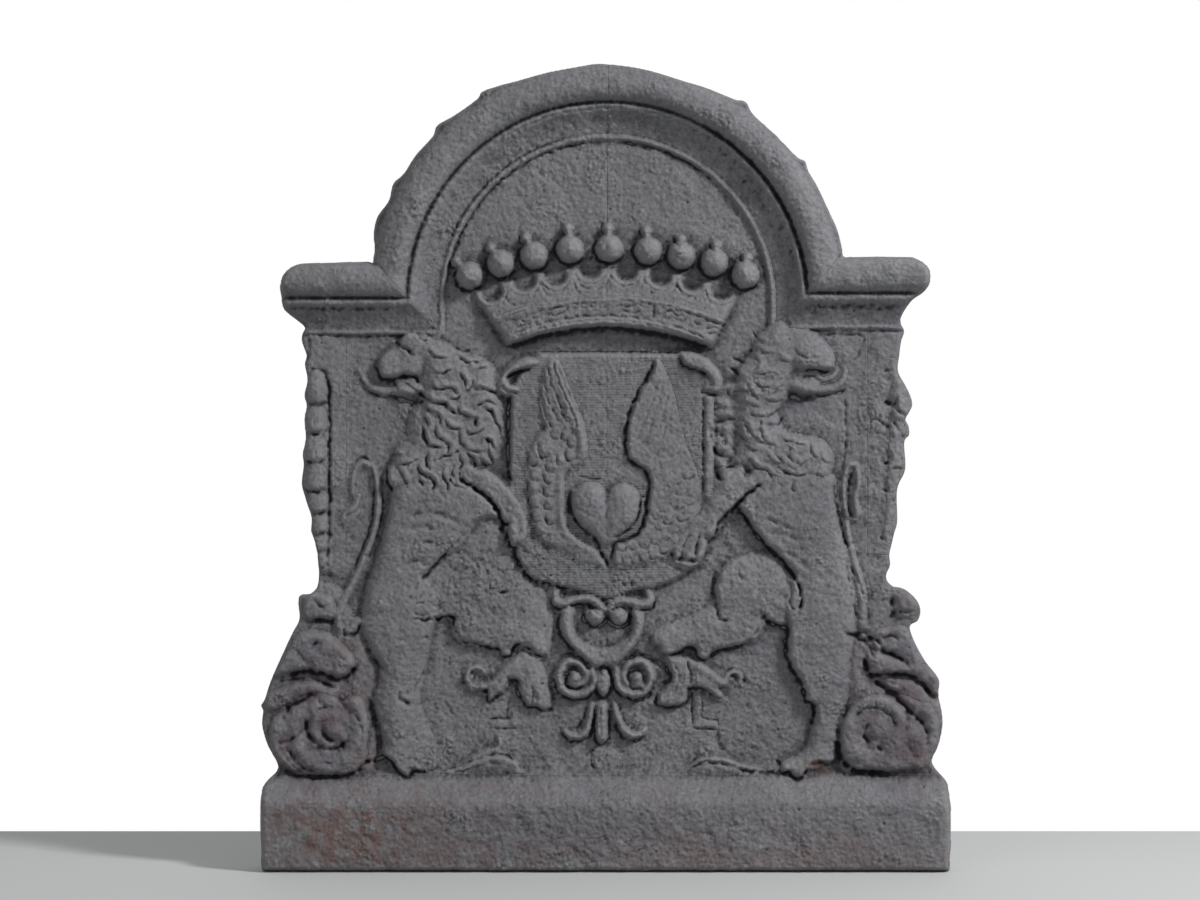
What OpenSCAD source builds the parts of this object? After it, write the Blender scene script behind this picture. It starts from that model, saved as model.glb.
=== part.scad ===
// Cast-iron fireback: an arched plate on a plinth, framed by a roll moulding, cornices, pilasters
// and scroll consoles, with a coronet over a shield between two rampant lions.
// Millimetres. +X right, +Z up, the ornament faces -Y; the origin is the middle of the foot.
// Relief is drawn lying flat: local X across, local Y up the plate, local Z out of the plate.

/* [Plate and plinth] */
// Thickness of the back plate
plate_thickness = 20; // [16:1:26]
// Width of the plinth at the floor
plinth_width = 687; // [683:1:703]
// Height of the plinth
plinth_height = 92; // [84:1:104]
// How far the plinth stands out in front of the plate
plinth_reach = 36; // [30:1:44]
// Radius of the plinth's rounded top edge
plinth_round = 21; // [12:1:26]

/* [Arch] */
// Outer radius of the arch
arch_radius = 235; // [233:0.5:237]
// Width of the outer roll
roll_width = 36; // [30:1:38]
// How far the outer roll stands out
roll_relief = 27; // [22:1:32]
// Height of the cove where it meets the roll
cove_relief = 16; // [12:1:19]
// Radius of the bead inside the cove
bead_radius = 2.8; // [2:0.1:3.4]

/* [Cornices and pilasters] */
// How far the cornice nose stands out past the shaft
cornice_reach = 21; // [16:1:23]
// Relief of the cornice where it leaves the plate
cornice_base = 9; // [6:1:12]
// Relief of the pilaster strips
pilaster_relief = 3; // [2:0.5:4]
// Relief of the husk garlands on the pilasters
husk_relief = 10; // [7:0.5:13]

/* [Consoles] */
// Outer radius of the console volutes
volute_radius = 44; // [38:1:46]
// Relief of the console volutes
volute_relief = 20; // [15:1:24]
// Relief of the leaf above each volute
leaf_relief = 16; // [12:1:20]

/* [Coronet] */
// Relief of the coronet's jewelled band
band_relief = 15; // [12:1:18]
// Relief of the cups between the pearls
cup_relief = 11; // [9:0.5:14]
// Radius of the round pocket in each cup
pocket_radius = 11; // [8:0.5:12]
// Radius of the large pearls
pearl_radius = 14.5; // [12:0.5:15]
// Radius of the small beads over the pearls
bead_top_radius = 5.5; // [4:0.25:6]

/* [Shield] */
// Relief of the shield
shield_relief = 8; // [6:0.5:11]
// Relief of the wings above the shield
wing_relief = 5; // [3.5:0.5:7]
// Relief of the heart above the shield
heart_relief = 11; // [8:0.5:14]

/* [Lions and leafwork] */
// Greatest relief of the lions
lion_relief = 24; // [18:1:27]
// Greatest relief of the scrolls and leaves
scroll_relief = 11; // [8:1:14]

/* [Hidden] */
$fn = 96;
iron = [0.33, 0.33, 0.35];
body_sides = 8;                 // sides of the dome that is swept along a lion's limbs
fine_sides = 6;                 // sides of the dome that is swept along leaves, locks and scrolls
scale_sides = 5;                // sides of the domes of scale feathers and locks
seam = 0.4;                     // clearance between two neighbouring reliefs
plinth_half = plinth_width / 2;
back_y = (plate_thickness + plinth_reach) / 2;      // the flat back
front_y = back_y - plate_thickness;                 // the plate's face, which carries the relief
arch_y = 565;                   // height of the arch's centre
cornice_top = 604;
cornice_foot = 536;
right_rise = 5;                 // the right cornice sits this much higher
volute_at_left = [274, 139];
volute_at_right = [270, 136];
right_size = 0.92;              // the right volute is this much smaller
roll_inner = arch_radius - roll_width;
cove_inner = 168;
bead_centre = cove_inner - bead_radius + 0.4;
cove_radius = 27;
rim_top = 541;                  // height of the coronet's lower rim on the centre line
rim_radius = 276;
band_height = 30;               // from the coronet's lower rim to the rail under the cups
cup_height = 16;                // from the rail to the pearls' centres
coronet_y = rim_top - rim_radius;
rail_radius = rim_radius + band_height;
row_radius = rail_radius + cup_height;
shield_top = 515;

pearls = [[-136, 592], [-105, 604], [-72, 612], [-36, 618], [3, 619], [42, 617], [75, 612], [108, 605], [139, 593]];
cups = [[-115, 577], [-83, 588], [-50, 594], [-16, 599], [20, 599], [54, 593], [86, 588], [115, 578]];
bead_angles = [135, 124, 115, 95, 93, 96, 90, 83, 79];          // where each small bead sits on its pearl

// Measured half outlines, floor to shoulder: [out from the centre line, up]
left_edge = [[333, 92], [328, 99], [329, 107], [338, 125], [343, 146], [340, 169], [334, 188], [322, 213],
    [312, 236], [305, 250], [307, 271], [296, 275], [287, 288], [288, 306], [291, 330], [295, 352], [302, 376],
    [301, 430], [300, 480], [301, 536], [300, 600]];
right_edge = [[338, 92], [328, 101], [325, 110], [331, 124], [335, 141], [334, 162], [331, 190], [318, 208],
    [306, 230], [303, 242], [313, 256], [309, 271], [291, 281], [280, 292], [284, 322], [291, 352], [294, 378],
    [299, 410], [303, 440], [305, 463], [296, 486], [293, 510], [296, 540], [296, 604]];
shaft_half = left_edge[len(left_edge) - 1][0];      // half width over the pilasters
drawn_plinth = left_edge[0][1];                     // where the measured outlines start
// All that lies on the plate keeps its measured proportions and follows the plinth's width
across = plinth_half / (max([for (p = left_edge) p[0]]) + 0.5);
lift = plinth_height - drawn_plinth * across;

// A point of a Catmull-Rom curve through p1 and p2
function curve_point(p0, p1, p2, p3, t) =
    0.5 * (2 * p1 + (p2 - p0) * t + (2 * p0 - 5 * p1 + 4 * p2 - p3) * t * t
        + (3 * p1 - p0 - 3 * p2 + p3) * t * t * t);
function held(p, i) = p[max(0, min(len(p) - 1, i))];
function wrapped(p, i) = p[(i + len(p)) % len(p)];
function smooth(p, n) = concat(
    [for (i = [0 : len(p) - 2]) for (k = [0 : n - 1])
        curve_point(held(p, i - 1), held(p, i), held(p, i + 1), held(p, i + 2), k / n)],
    [p[len(p) - 1]]);
function smooth_ring(p, n) =
    [for (i = [0 : len(p) - 1]) for (k = [0 : n - 1])
        curve_point(wrapped(p, i - 1), wrapped(p, i), wrapped(p, i + 1), wrapped(p, i + 2), k / n)];

// Stations of a volute, from its outer end inwards: centre, radii, start angle, turn, widths, heights
function volute(c, r1, r2, a, turn, w1, w2, h1, h2, n) =
    [for (k = [0 : n]) let (t = k / n, r = r1 + (r2 - r1) * pow(t, 0.8), b = a + turn * t)
        [c[0] + r * cos(b), c[1] + r * sin(b), w1 + (w2 - w1) * t, h1 + (h2 - h1) * t]];

// Places children so that their local XY plane is the plate's front face
module proud() {
    translate([0, front_y, lift])
        rotate([90, 0, 0])
            scale([across, across, 1])
                children();
}

module dome(s, sides = fine_sides) {
    translate([s[0], s[1], 0])
        scale([s[2], s[2], s[3]])
            rotate_extrude($fn = sides)
                polygon([[0, 0], [1, 0], [0.8, 0.65], [0.36, 1], [0, 1]]);
}

// A rounded limb through stations [x, y, half width, relief]
module limb(stations, steps = 2, sides = fine_sides) {
    p = smooth(stations, steps);
    for (i = [0 : len(p) - 2])
        hull() {
            dome(p[i], sides);
            dome(p[i + 1], sides);
        }
}

module half_outline(edge) {
    polygon(concat([[0, edge[0][1]]], smooth(edge, 3), [[0, edge[len(edge) - 1][1]]]));
}

module plate_outline() {
    left = smooth(left_edge, 3);
    polygon(concat(smooth(right_edge, 3), [for (i = [len(left) - 1 : -1 : 0]) [-left[i][0], left[i][1]]]));
}

module back_plate() {
    color(iron) proud()
        translate([0, 0, -plate_thickness])
            linear_extrude(plate_thickness) {
                plate_outline();
                translate([0, arch_y]) circle(arch_radius);
            }
}

module plinth_section() {
    depth = plate_thickness + plinth_reach;
    union() {
        square([depth, plinth_height - plinth_round]);
        square([depth - plinth_round, plinth_height]);
        translate([depth - plinth_round, plinth_height - plinth_round]) circle(plinth_round);
    }
}

module plinth_front() {
    corner = 16;
    square([plinth_width, plinth_height - corner]);
    translate([corner, 0]) square([plinth_width - 2 * corner, plinth_height]);
    for (x = [corner, plinth_width - corner])
        translate([x, plinth_height - corner]) circle(corner);
}

module plinth() {
    color(iron) intersection() {
        translate([-plinth_half, back_y, 0])
            rotate([90, 0, 90])
                linear_extrude(plinth_width)
                    mirror([1, 0]) plinth_section();
        translate([-plinth_half, back_y, 0])
            rotate([90, 0, 0])
                linear_extrude(plate_thickness + plinth_reach)
                    plinth_front();
    }
}

// Section of the arch moulding: x is the radius, y the relief
module arch_section() {
    half = roll_width / 2;
    translate([roll_inner, 0]) square([roll_width, roll_relief - half]);
    intersection() {
        translate([roll_inner + half, roll_relief - half]) circle(half);
        translate([roll_inner, 0]) square([roll_width, roll_relief]);
    }
    cove_section();
}

module cove_section() {
    difference() {
        translate([cove_inner, 0]) square([roll_inner - cove_inner, cove_relief]);
        translate([roll_inner - cove_radius, cove_radius + 3]) circle(cove_radius);
        translate([cove_inner - 1, 3]) square([roll_inner - cove_radius - cove_inner + 1, 40]);
    }
}

module arch_right_half(foot, shoulder) {
    difference() {
        union() {
            translate([0, arch_y, 0]) rotate_extrude(angle = 90) arch_section();
            translate([0, arch_y, 0]) rotate([90, 0, 0]) linear_extrude(arch_y - foot) cove_section();
        }
        translate([roll_inner + seam / 2, foot - 5, -1]) cube([80, shoulder + seam - foot + 5, 60]);
    }
}

module arch_left() {
    color(iron) proud() mirror([1, 0, 0]) arch_right_half(cornice_foot + 2, cornice_top);
}

module arch_right() {
    color(iron) proud() arch_right_half(cornice_foot + 9, cornice_top + right_rise);
}

module bead_section() {
    intersection() {
        translate([bead_centre - seam, 0.8]) circle(bead_radius);
        translate([bead_centre - 6, 0]) square([12, 6]);
    }
}

module arch_bead() {
    bead_foot = 547;
    color(iron) proud() {
        translate([0, arch_y, 0]) rotate_extrude(angle = 180) bead_section();
        for (side = [0, 1])
            mirror([side, 0, 0])
                translate([0, arch_y, 0])
                    rotate([90, 0, 0])
                        linear_extrude(arch_y - bead_foot)
                            bead_section();
    }
}

// Cornice section: x is the reach, y the height: fillet, torus, fillet, cavetto and foot
module cornice_section(base) {
    torus = cornice_reach;
    translate([0, -4]) square([base + 3, 4]);
    intersection() {
        translate([base, -4 - torus]) circle(torus);
        translate([0, -40]) square([base + 80, 36]);
    }
    translate([0, -36]) square([base, 34]);
    translate([0, -44]) square([base + cornice_reach - 4, 8]);
    difference() {
        translate([0, -62]) square([base + cornice_reach - 6, 18]);
        translate([base + cornice_reach - 2, -62]) circle(17);
    }
    translate([0, -68]) square([base - 3, 6]);
}

module cornice(top) {
    length = shaft_half + cornice_reach - roll_inner;
    side_base = shaft_half - roll_inner;
    intersection() {
        translate([roll_inner, top, 0])
            rotate([90, 0, 90])
                linear_extrude(length + 5)
                    rotate([0, 0, 90]) mirror([0, 1]) cornice_section(cornice_base);
        translate([roll_inner, top, 0])
            linear_extrude(60)
                cornice_section(side_base);
    }
}

module cornice_left() {
    color(iron) proud() mirror([1, 0, 0]) cornice(cornice_top);
}

module cornice_right() {
    color(iron) proud() cornice(cornice_top + right_rise);
}

module strip_outline(low, high) {
    inner = shaft_half - 30;
    outer = shaft_half - 2;
    polygon([[inner, low], [outer - 13, low], [outer - 9, 345], [outer, 388], [outer, high], [inner, high]]);
}

module pilaster_left() {
    color(iron) proud()
        mirror([1, 0, 0])
            linear_extrude(pilaster_relief)
                strip_outline(284, cornice_foot - 8);
}

module pilaster_right() {
    color(iron) proud()
        linear_extrude(pilaster_relief)
            strip_outline(300, cornice_foot - 3);
}

// A falling row of husks, each a drop that widens downwards, set on the pilaster strip
module husks(high, low, x1, x2, size) {
    count = 8;
    pitch = (high - low) / count;
    intersection() {
        for (k = [0 : count - 1]) {
            t = k / (count - 1);
            x = x1 + (x2 - x1) * t;
            r = size * (1 - 0.4 * t);
            y = high - pitch * (k + 0.5);
            hull() {
                dome([x, y + pitch * 0.3, r * 0.7, pilaster_relief + husk_relief * 0.7]);
                dome([x, y - pitch * 0.18, r, pilaster_relief + husk_relief * (1 - 0.3 * t)]);
            }
        }
        translate([200, low - 20, pilaster_relief]) cube([200, high - low + 40, 40]);
    }
}

module husks_left() {
    color(iron) proud() mirror([1, 0, 0]) husks(499, 303, 287, 284, 10.5);
}

module husks_right() {
    color(iron) proud() husks(488, 322, 286, 284, 9.5);
}

// The console's swelling block, drawn within the plate's own edge
module console_block(edge, centre, size) {
    rim = 4;
    high = 268;
    linear_extrude(pilaster_relief + 2)
        intersection() {
            half_outline([for (p = edge) [p[0] - rim, p[1]]]);
            union() {
                polygon([[246, drawn_plinth], [360, drawn_plinth], [360, high], [278, high], [274, 236],
                    [250, 215], [240, 190], [238, 150]]);
                translate(centre) circle(volute_radius * size + 0.5);
            }
            translate([200, drawn_plinth]) square([200, 300]);
        }
}

module console_left() {
    color(iron) proud() mirror([1, 0, 0]) console_block(left_edge, volute_at_left, 1);
}

module console_right() {
    color(iron) proud() console_block(right_edge, volute_at_right, right_size);
}

// A console volute: one scroll that winds in to a round eye, on top of the console block
module console_volute(centre, size) {
    r = volute_radius * size;
    floor_z = pilaster_relief + 2;
    intersection() {
        union() {
            limb(volute(centre, r - 7, 14, 60, -560, 8, 4.5, volute_relief * 0.95, volute_relief * 0.7, 15), 1);
            dome([centre[0], centre[1], r - 6, floor_z + 3]);
            dome([centre[0], centre[1], 9, volute_relief]);
        }
        translate([200, drawn_plinth + 1, floor_z]) cube([200, 200, 60]);
    }
}

module volute_left() {
    color(iron) proud() mirror([1, 0, 0]) console_volute(volute_at_left, 1);
}

module volute_right() {
    color(iron) proud() console_volute(volute_at_right, right_size);
}

// Leaf lobes that fan over the console's shoulder
module console_leaf() {
    floor_z = pilaster_relief + 2;
    intersection() {
        union() {
            limb([[283, 243, 7, leaf_relief * 0.7], [280, 229, 12, leaf_relief], [296, 214, 12, leaf_relief * 0.9],
                [315, 196, 6, leaf_relief * 0.6]]);
            limb([[258, 228, 6, leaf_relief * 0.6], [266, 212, 11, leaf_relief * 0.9],
                [284, 199, 9, leaf_relief * 0.8], [300, 188, 5, leaf_relief * 0.5]]);
            limb([[288, 262, 5, leaf_relief * 0.5], [297, 246, 6, leaf_relief * 0.7],
                [308, 224, 5, leaf_relief * 0.5]]);
        }
        translate([200, 186, floor_z]) cube([200, 100, 60]);
    }
}

module console_leaf_left() {
    color(iron) proud() mirror([1, 0, 0]) console_leaf();
}

module console_leaf_right() {
    color(iron) proud() console_leaf();
}

// A ring about the coronet's centre, cut to the coronet's flaring sides
module coronet_ring(r1, r2) {
    intersection() {
        translate([0, coronet_y])
            difference() {
                circle(r2, $fn = 180);
                circle(r1, $fn = 180);
            }
        polygon([[-92, 500], [98, 500], [158, 640], [-158, 640]]);
    }
}

module coronet_band() {
    lozenge = 7;
    color(iron) proud() {
        linear_extrude(band_relief - 3) coronet_ring(rim_radius, rail_radius);
        linear_extrude(band_relief) coronet_ring(rim_radius, rim_radius + 8);
        linear_extrude(band_relief) coronet_ring(rail_radius - 6, rail_radius);
        for (k = [-2 : 2])
            rotate_about_coronet(k * 8.5)
                translate([0, (rim_radius + 2 + rail_radius) / 2, 0])
                    linear_extrude(band_relief - 1)
                        polygon([[-lozenge * 1.5, 0], [0, -lozenge], [lozenge * 1.5, 0], [0, lozenge]]);
    }
}

module rotate_about_coronet(angle) {
    translate([0, coronet_y, 0])
        rotate([0, 0, angle])
            children();
}

module coronet_cups() {
    pocket_floor = 3;
    cup_radius = 16.5;
    color(iron) proud()
        difference() {
            union() {
                linear_extrude(cup_relief - 2) coronet_ring(rail_radius + seam, row_radius);
                for (c = cups)
                    translate([c[0], c[1], 0]) cylinder(r = cup_radius, h = cup_relief);
            }
            for (c = cups)
                translate([c[0], c[1], pocket_floor]) cylinder(r = pocket_radius, h = 20);
            for (p = pearls)
                translate([p[0], p[1], -1]) cylinder(r = pearl_radius + seam, h = 40);
            translate([0, coronet_y, -1]) cylinder(r = rail_radius + seam, h = 40, $fn = 180);
        }
}

module pearl(p, r) {
    translate([p[0], p[1], 0])
        intersection() {
            translate([0, 0, r * 0.3]) sphere(r);
            translate([-r - 1, -r - 1, 0]) cube([2 * r + 2, 2 * r + 2, 2 * r]);
        }
}

module pearls_large() {
    color(iron) proud()
        for (p = pearls) pearl(p, pearl_radius);
}

module pearls_small() {
    reach = pearl_radius + bead_top_radius + seam;
    color(iron) proud()
        for (k = [0 : len(pearls) - 1])
            pearl(pearls[k] + reach * [cos(bead_angles[k]), sin(bead_angles[k])], bead_top_radius);
}

module shield_outline() {
    foot = smooth([[99, 372], [99, 345], [92, 314], [76, 293], [50, 282], [24, 277], [0, 268], [-24, 278],
        [-50, 283], [-72, 287], [-84, 311], [-94, 338], [-95, 372]], 3);
    polygon(concat([[-95, 470], [-84, 495], [-70, shield_top], [76, shield_top], [88, 497], [99, 470]], foot));
}

module shield_field() {
    rim = 2.5;
    color(iron) proud() {
        linear_extrude(shield_relief) shield_outline();
        translate([0, 0, shield_relief])
            linear_extrude(rim)
                intersection() {
                    shield_outline();
                    union() {
                        translate([92, 392]) square([12, 104]);
                        translate([-110, 392]) square([20, 76]);
                        translate([-70, shield_top - 6]) square([146, 6]);
                    }
                }
    }
}

module ear(points) {
    intersection() {
        limb(points, 2);
        translate([-130, 400, 0]) cube([260, 117, 60]);
    }
}

module shield_ear_left() {
    color(iron) proud()
        difference() {
            ear([[-66, 506, 5, 9], [-80, 511, 7, 12], [-96, 504, 8, 14], [-104, 492, 7, 13], [-103, 482, 6, 11]]);
            linear_extrude(60) offset(delta = seam) shield_outline();
            lion_keepout(mane_left_ring);
        }
}

module shield_ear_right() {
    color(iron) proud()
        difference() {
            ear([[80, 511, 6, 10], [92, 506, 8, 12], [104, 497, 8, 13], [108, 486, 6, 11]]);
            linear_extrude(60) offset(delta = seam) shield_outline();
        }
}

module heart() {
    lobe_y = 367;
    lobe_sides = 10;
    color(iron) proud()
        translate([1, 0, shield_relief]) {
            for (side = [-1, 1])
                limb([[side * 16, lobe_y, 18, heart_relief], [side * 13, lobe_y - 12, 17, heart_relief],
                    [side * 5, lobe_y - 27, 9, heart_relief * 0.7], [0, lobe_y - 38, 2, 3]], 1, lobe_sides);
        }
}

// Long feathers spread from the wing's root, then rows of short scale feathers
module wing_left() {
    color(iron) proud()
        translate([0, 0, shield_relief]) {
            for (k = [0 : 4]) {
                t = k / 4;
                limb([[-29 - 24 * t, 414 + 10 * t, 6, wing_relief], [-29 - 30 * t, 452 + 2 * t, 5.5, wing_relief],
                    [-50 - 9 * t, 504 - 30 * t, 3, wing_relief * 0.6]], 1, scale_sides);
            }
            for (row = [0 : 3])
                for (k = [0 : 1])
                    hull() {
                        dome([-53 - 11 * k, 410 - 20 * row + 4 * k, 8, wing_relief], scale_sides);
                        dome([-58 - 11 * k, 399 - 20 * row + 4 * k, 5.5, wing_relief * 0.8], scale_sides);
                    }
        }
}

module wing_right() {
    color(iron) proud()
        translate([0, 0, shield_relief]) {
            limb([[50, 504, 3, 3], [46, 474, 10, wing_relief], [44, 440, 22, wing_relief],
                [54, 408, 28, wing_relief], [66, 380, 20, wing_relief * 0.9], [62, 352, 12, wing_relief * 0.8],
                [48, 330, 6, wing_relief * 0.7]], 1);
            limb([[66, 494, 3, 3], [66, 460, 9, wing_relief * 0.9], [70, 420, 13, wing_relief]], 1);
            for (k = [0 : 4])
                hull() {
                    dome([10 + 10 * k, 312 + 1.5 * k, 6, wing_relief * 0.7]);
                    dome([12 + 10 * k, 306 + 1.5 * k, 4, wing_relief * 0.6]);
                }
        }
}

mane_left_ring = [[-191, 534], [-168, 530], [-140, 512], [-112, 492], [-103, 474], [-103, 445], [-107, 412],
    [-126, 390], [-150, 378], [-182, 376], [-212, 378], [-217, 400], [-206, 432], [-192, 458]];
mane_right_ring = [[178, 542], [160, 530], [142, 506], [139, 482], [128, 458], [134, 436], [140, 408],
    [152, 392], [176, 384], [202, 376], [222, 388], [224, 410], [212, 436], [200, 462], [196, 500]];

module lion_keepout(ring) {
    translate([0, 0, -1])
        linear_extrude(80)
            offset(delta = seam)
                polygon(smooth_ring(ring, 2));
}

module shield_keepout() {
    translate([0, 0, -1])
        linear_extrude(shield_relief + 1)
            shield_outline();
}

module lion_body_left() {
    q = lion_relief / 24;
    color(iron) proud()
        difference() {
            union() {
                limb([[-172, 372, 43, 18 * q], [-180, 340, 42, 18 * q], [-196, 310, 34, 16 * q],
                    [-211, 280, 29, 16 * q], [-208, 254, 35, 20 * q], [-209, 224, 29, 17 * q],
                    [-205, 196, 22, 14 * q], [-213, 166, 17, 13 * q], [-212, 136, 15, 12 * q],
                    [-206, 108, 11, 11 * q], [-196, 101, 8, 10 * q], [-184, 99, 6, 8 * q]], 1, body_sides);
                limb([[-190, 262, 26, 18 * q], [-160, 264, 16, 14 * q], [-130, 246, 15, 13 * q],
                    [-104, 229, 12, 11 * q], [-82, 221, 9, 9 * q], [-68, 219, 6, 7 * q]], 1, body_sides);
                limb([[-148, 402, 16, 20 * q], [-122, 386, 13, 22 * q], [-101, 368, 12, 21 * q],
                    [-93, 351, 12, 20 * q]], 1, body_sides);
                limb([[-93, 351, 11, 20 * q], [-90, 338, 9, 17 * q]]);
            }
            lion_keepout(mane_left_ring);
            shield_keepout();
        }
}

module lion_body_right() {
    q = lion_relief / 24;
    color(iron) proud()
        difference() {
            union() {
                limb([[184, 372, 44, 18 * q], [191, 345, 42, 18 * q], [205, 315, 36, 16 * q],
                    [220, 280, 28, 16 * q], [219, 254, 32, 20 * q], [211, 228, 30, 17 * q],
                    [211, 198, 24, 14 * q], [214, 168, 16, 13 * q], [214, 138, 13, 12 * q],
                    [211, 110, 11, 11 * q], [200, 101, 8, 10 * q], [184, 100, 6, 8 * q]], 1, body_sides);
                limb([[196, 272, 22, 17 * q], [150, 272, 30, 16 * q], [124, 244, 16, 13 * q],
                    [98, 230, 12, 11 * q], [72, 227, 10, 9 * q], [57, 223, 6, 7 * q]], 1, body_sides);
                limb([[156, 400, 18, 19 * q], [130, 378, 15, 22 * q], [106, 354, 14, 22 * q],
                    [91, 333, 14, 22 * q]], 1, body_sides);
                for (k = [0 : 2])
                    hull() {
                        dome([92 + 7 * (k - 1), 332, 9, 21 * q]);
                        dome([86 + 12 * (k - 1), 312, 6, 18 * q]);
                    }
            }
            lion_keepout(mane_right_ring);
            shield_keepout();
        }
}

// Locks of hair in staggered rows that fall away from the face
module mane_locks(face, rows, start, spread) {
    q = lion_relief / 24;
    for (row = [0 : rows - 1]) {
        count = 2 + row;
        for (k = [0 : count - 1]) {
            a = start + spread * (k + 0.5 * (row % 2)) / count;
            r = 30 + 27 * row;
            limb([[face[0] + r * cos(a), face[1] + r * sin(a), 9, 24 * q],
                [face[0] + (r + 13) * cos(a + 9), face[1] + (r + 13) * sin(a + 9), 8, 23 * q],
                [face[0] + (r + 25) * cos(a + 4), face[1] + (r + 25) * sin(a + 4), 4, 19 * q]], 1, scale_sides);
        }
    }
}

module lion_mane_left() {
    q = lion_relief / 24;
    color(iron) proud() {
        intersection() {
            union() {
                limb([[-168, 508, 26, 20 * q], [-142, 478, 38, 20 * q], [-146, 436, 42, 20 * q],
                    [-168, 402, 38, 17 * q]], 1);
                mane_locks([-196, 500], 4, -78, 96);
            }
            linear_extrude(80) polygon(smooth_ring(mane_left_ring, 2));
        }
        limb([[-184, 514, 19, 22 * q], [-200, 508, 16, 23 * q], [-213, 506, 14, 21 * q]], 1, body_sides);
        dome([-197, 522, 8, 24 * q]);
        limb([[-184, 484, 10, 16 * q], [-198, 478, 8, 16 * q], [-206, 476, 7, 13 * q]], 1);
        limb([[-206, 476, 4, 7], [-224, 474, 3, 6], [-238, 480, 3, 5], [-247, 493, 2, 4]], 1);
    }
}

module lion_mane_right() {
    q = lion_relief / 24;
    color(iron) proud() {
        intersection() {
            union() {
                limb([[176, 512, 30, 20 * q], [168, 478, 36, 20 * q], [172, 436, 38, 20 * q],
                    [186, 404, 36, 17 * q]], 1);
                mane_locks([204, 505], 4, 166, 96);
            }
            linear_extrude(80) polygon(smooth_ring(mane_right_ring, 2));
        }
        limb([[188, 520, 19, 22 * q], [206, 514, 16, 23 * q], [218, 511, 14, 21 * q]], 1, body_sides);
        dome([198, 529, 8, 24 * q]);
        limb([[190, 487, 10, 16 * q], [201, 480, 8, 16 * q], [208, 478, 7, 13 * q]], 1);
        limb([[208, 478, 4, 7], [224, 480, 3, 6], [235, 487, 3, 6], [236, 497, 2.5, 5]], 1);
    }
}

module lion_tail_left() {
    color(iron) proud()
        difference() {
            union() {
                limb([[-250, 242, 6, 8], [-260, 238, 6, 8], [-267, 252, 6, 8], [-262, 280, 5, 7],
                    [-250, 306, 5, 7], [-240, 336, 5, 7], [-235, 370, 5, 7], [-236, 398, 5, 7],
                    [-244, 406, 5, 7], [-251, 396, 5, 7], [-254, 378, 5, 8], [-257, 356, 9, 10],
                    [-262, 342, 5, 7]], 1, scale_sides);
            }
            lion_keepout([[-219, 378], [-226, 340], [-233, 318], [-245, 281], [-248, 242], [-234, 202], [-190, 250],
                [-190, 378]]);
        }
}

module lion_tail_right() {
    color(iron) proud()
        difference() {
            union() {
                limb([[258, 238, 5, 7], [262, 262, 6, 7], [257, 292, 6, 7], [249, 322, 5, 7], [243, 352, 5, 7],
                    [239, 382, 5, 7], [243, 402, 5, 7], [250, 398, 5, 7], [252, 382, 5, 8], [254, 362, 9, 10],
                    [260, 350, 6, 7]], 1, scale_sides);
            }
            lion_keepout([[233, 387], [237, 345], [247, 312], [252, 279], [255, 246], [246, 233], [200, 250],
                [200, 387]]);
        }
}

module ground_left() {
    color(iron) proud()
        limb([[-170, 98, 5, 6], [-150, 101, 8, 10], [-128, 104, 11, 14], [-110, 107, 13, 15], [-96, 103, 9, 10],
            [-84, 98, 5, 6]], 1);
}

module ground_right() {
    color(iron) proud()
        limb([[152, 98, 5, 5], [132, 101, 7, 8], [112, 103, 9, 10], [98, 102, 9, 9], [86, 98, 5, 5]], 1);
}

module lyre_scroll() {
    h = scroll_relief;
    color(iron) proud()
        for (side = [0, 1])
            mirror([side, 0, 0]) {
                limb([[2, 262, 4, h], [22, 264, 4.5, h * 0.8], [38, 262, 4, h * 0.7], [46, 267, 3, h * 0.5]],
                    1, scale_sides);
                limb(volute([12, 252], 9, 4, 100, -300, 4.5, 3, h, h * 0.8, 6), 1, scale_sides);
                limb([[38, 256, 4, h * 0.8], [38, 242, 4.5, h * 0.8], [32, 228, 5, h * 0.9],
                    [20, 217, 5, h]], 1);
            }
}

module lower_volutes() {
    h = scroll_relief;
    color(iron) proud()
        for (side = [0, 1])
            mirror([side, 0, 0])
                limb(volute([32, 189], 17, 6, 130, -470, 4.5, 3.5, h * 1.1, h * 0.8, 10), 1, scale_sides);
}

module centre_bud() {
    h = scroll_relief;
    color(iron) proud()
        for (side = [-1, 1])
            limb([[side, 197, 3, h * 0.6], [side * 3.5, 187, 4, h * 0.85], [side, 174, 2, h * 0.4]], 1);
}

module pendant() {
    h = scroll_relief;
    color(iron) proud() {
        limb([[-2, 164, 5, h * 0.9], [-3, 148, 6.5, h], [-4, 128, 4, h * 0.6]], 1);
        for (side = [-1, 1])
            limb([[side * 15 - 2, 160, 3.5, h * 0.7], [side * 17 - 2, 142, 4, h * 0.8],
                [side * 26 - 2, 133, 4, h * 0.7], [side * 37 - 2, 134, 3, h * 0.5]], 1);
        limb([[2, 117, 6, 3], [3, 107, 10, 4], [2, 101, 8, 3]], 1);
    }
}

// Leaves that spread sideways from the lower volutes
module spray() {
    h = scroll_relief;
    limb([[61, 196, 6, h * 0.8], [65, 182, 9, h], [66, 170, 8, h * 0.8]], 1);
    limb([[79, 196, 5, h * 0.6], [78, 182, 8, h * 0.9], [74, 168, 6, h * 0.7]], 1);
    limb([[84, 197, 6, h * 0.8], [100, 192, 7, h], [114, 187, 6, h * 0.8]], 1);
    limb(volute([126, 189], 9, 3, 200, 300, 4, 3, h * 0.8, h * 0.6, 6), 1, scale_sides);
    limb([[98, 184, 5, h * 0.7], [108, 176, 5, h * 0.7], [114, 167, 3, h * 0.5]], 1);
}

module spray_left() {
    color(iron) proud() mirror([1, 0, 0]) spray();
}

module spray_right() {
    color(iron) proud() spray();
}

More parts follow.
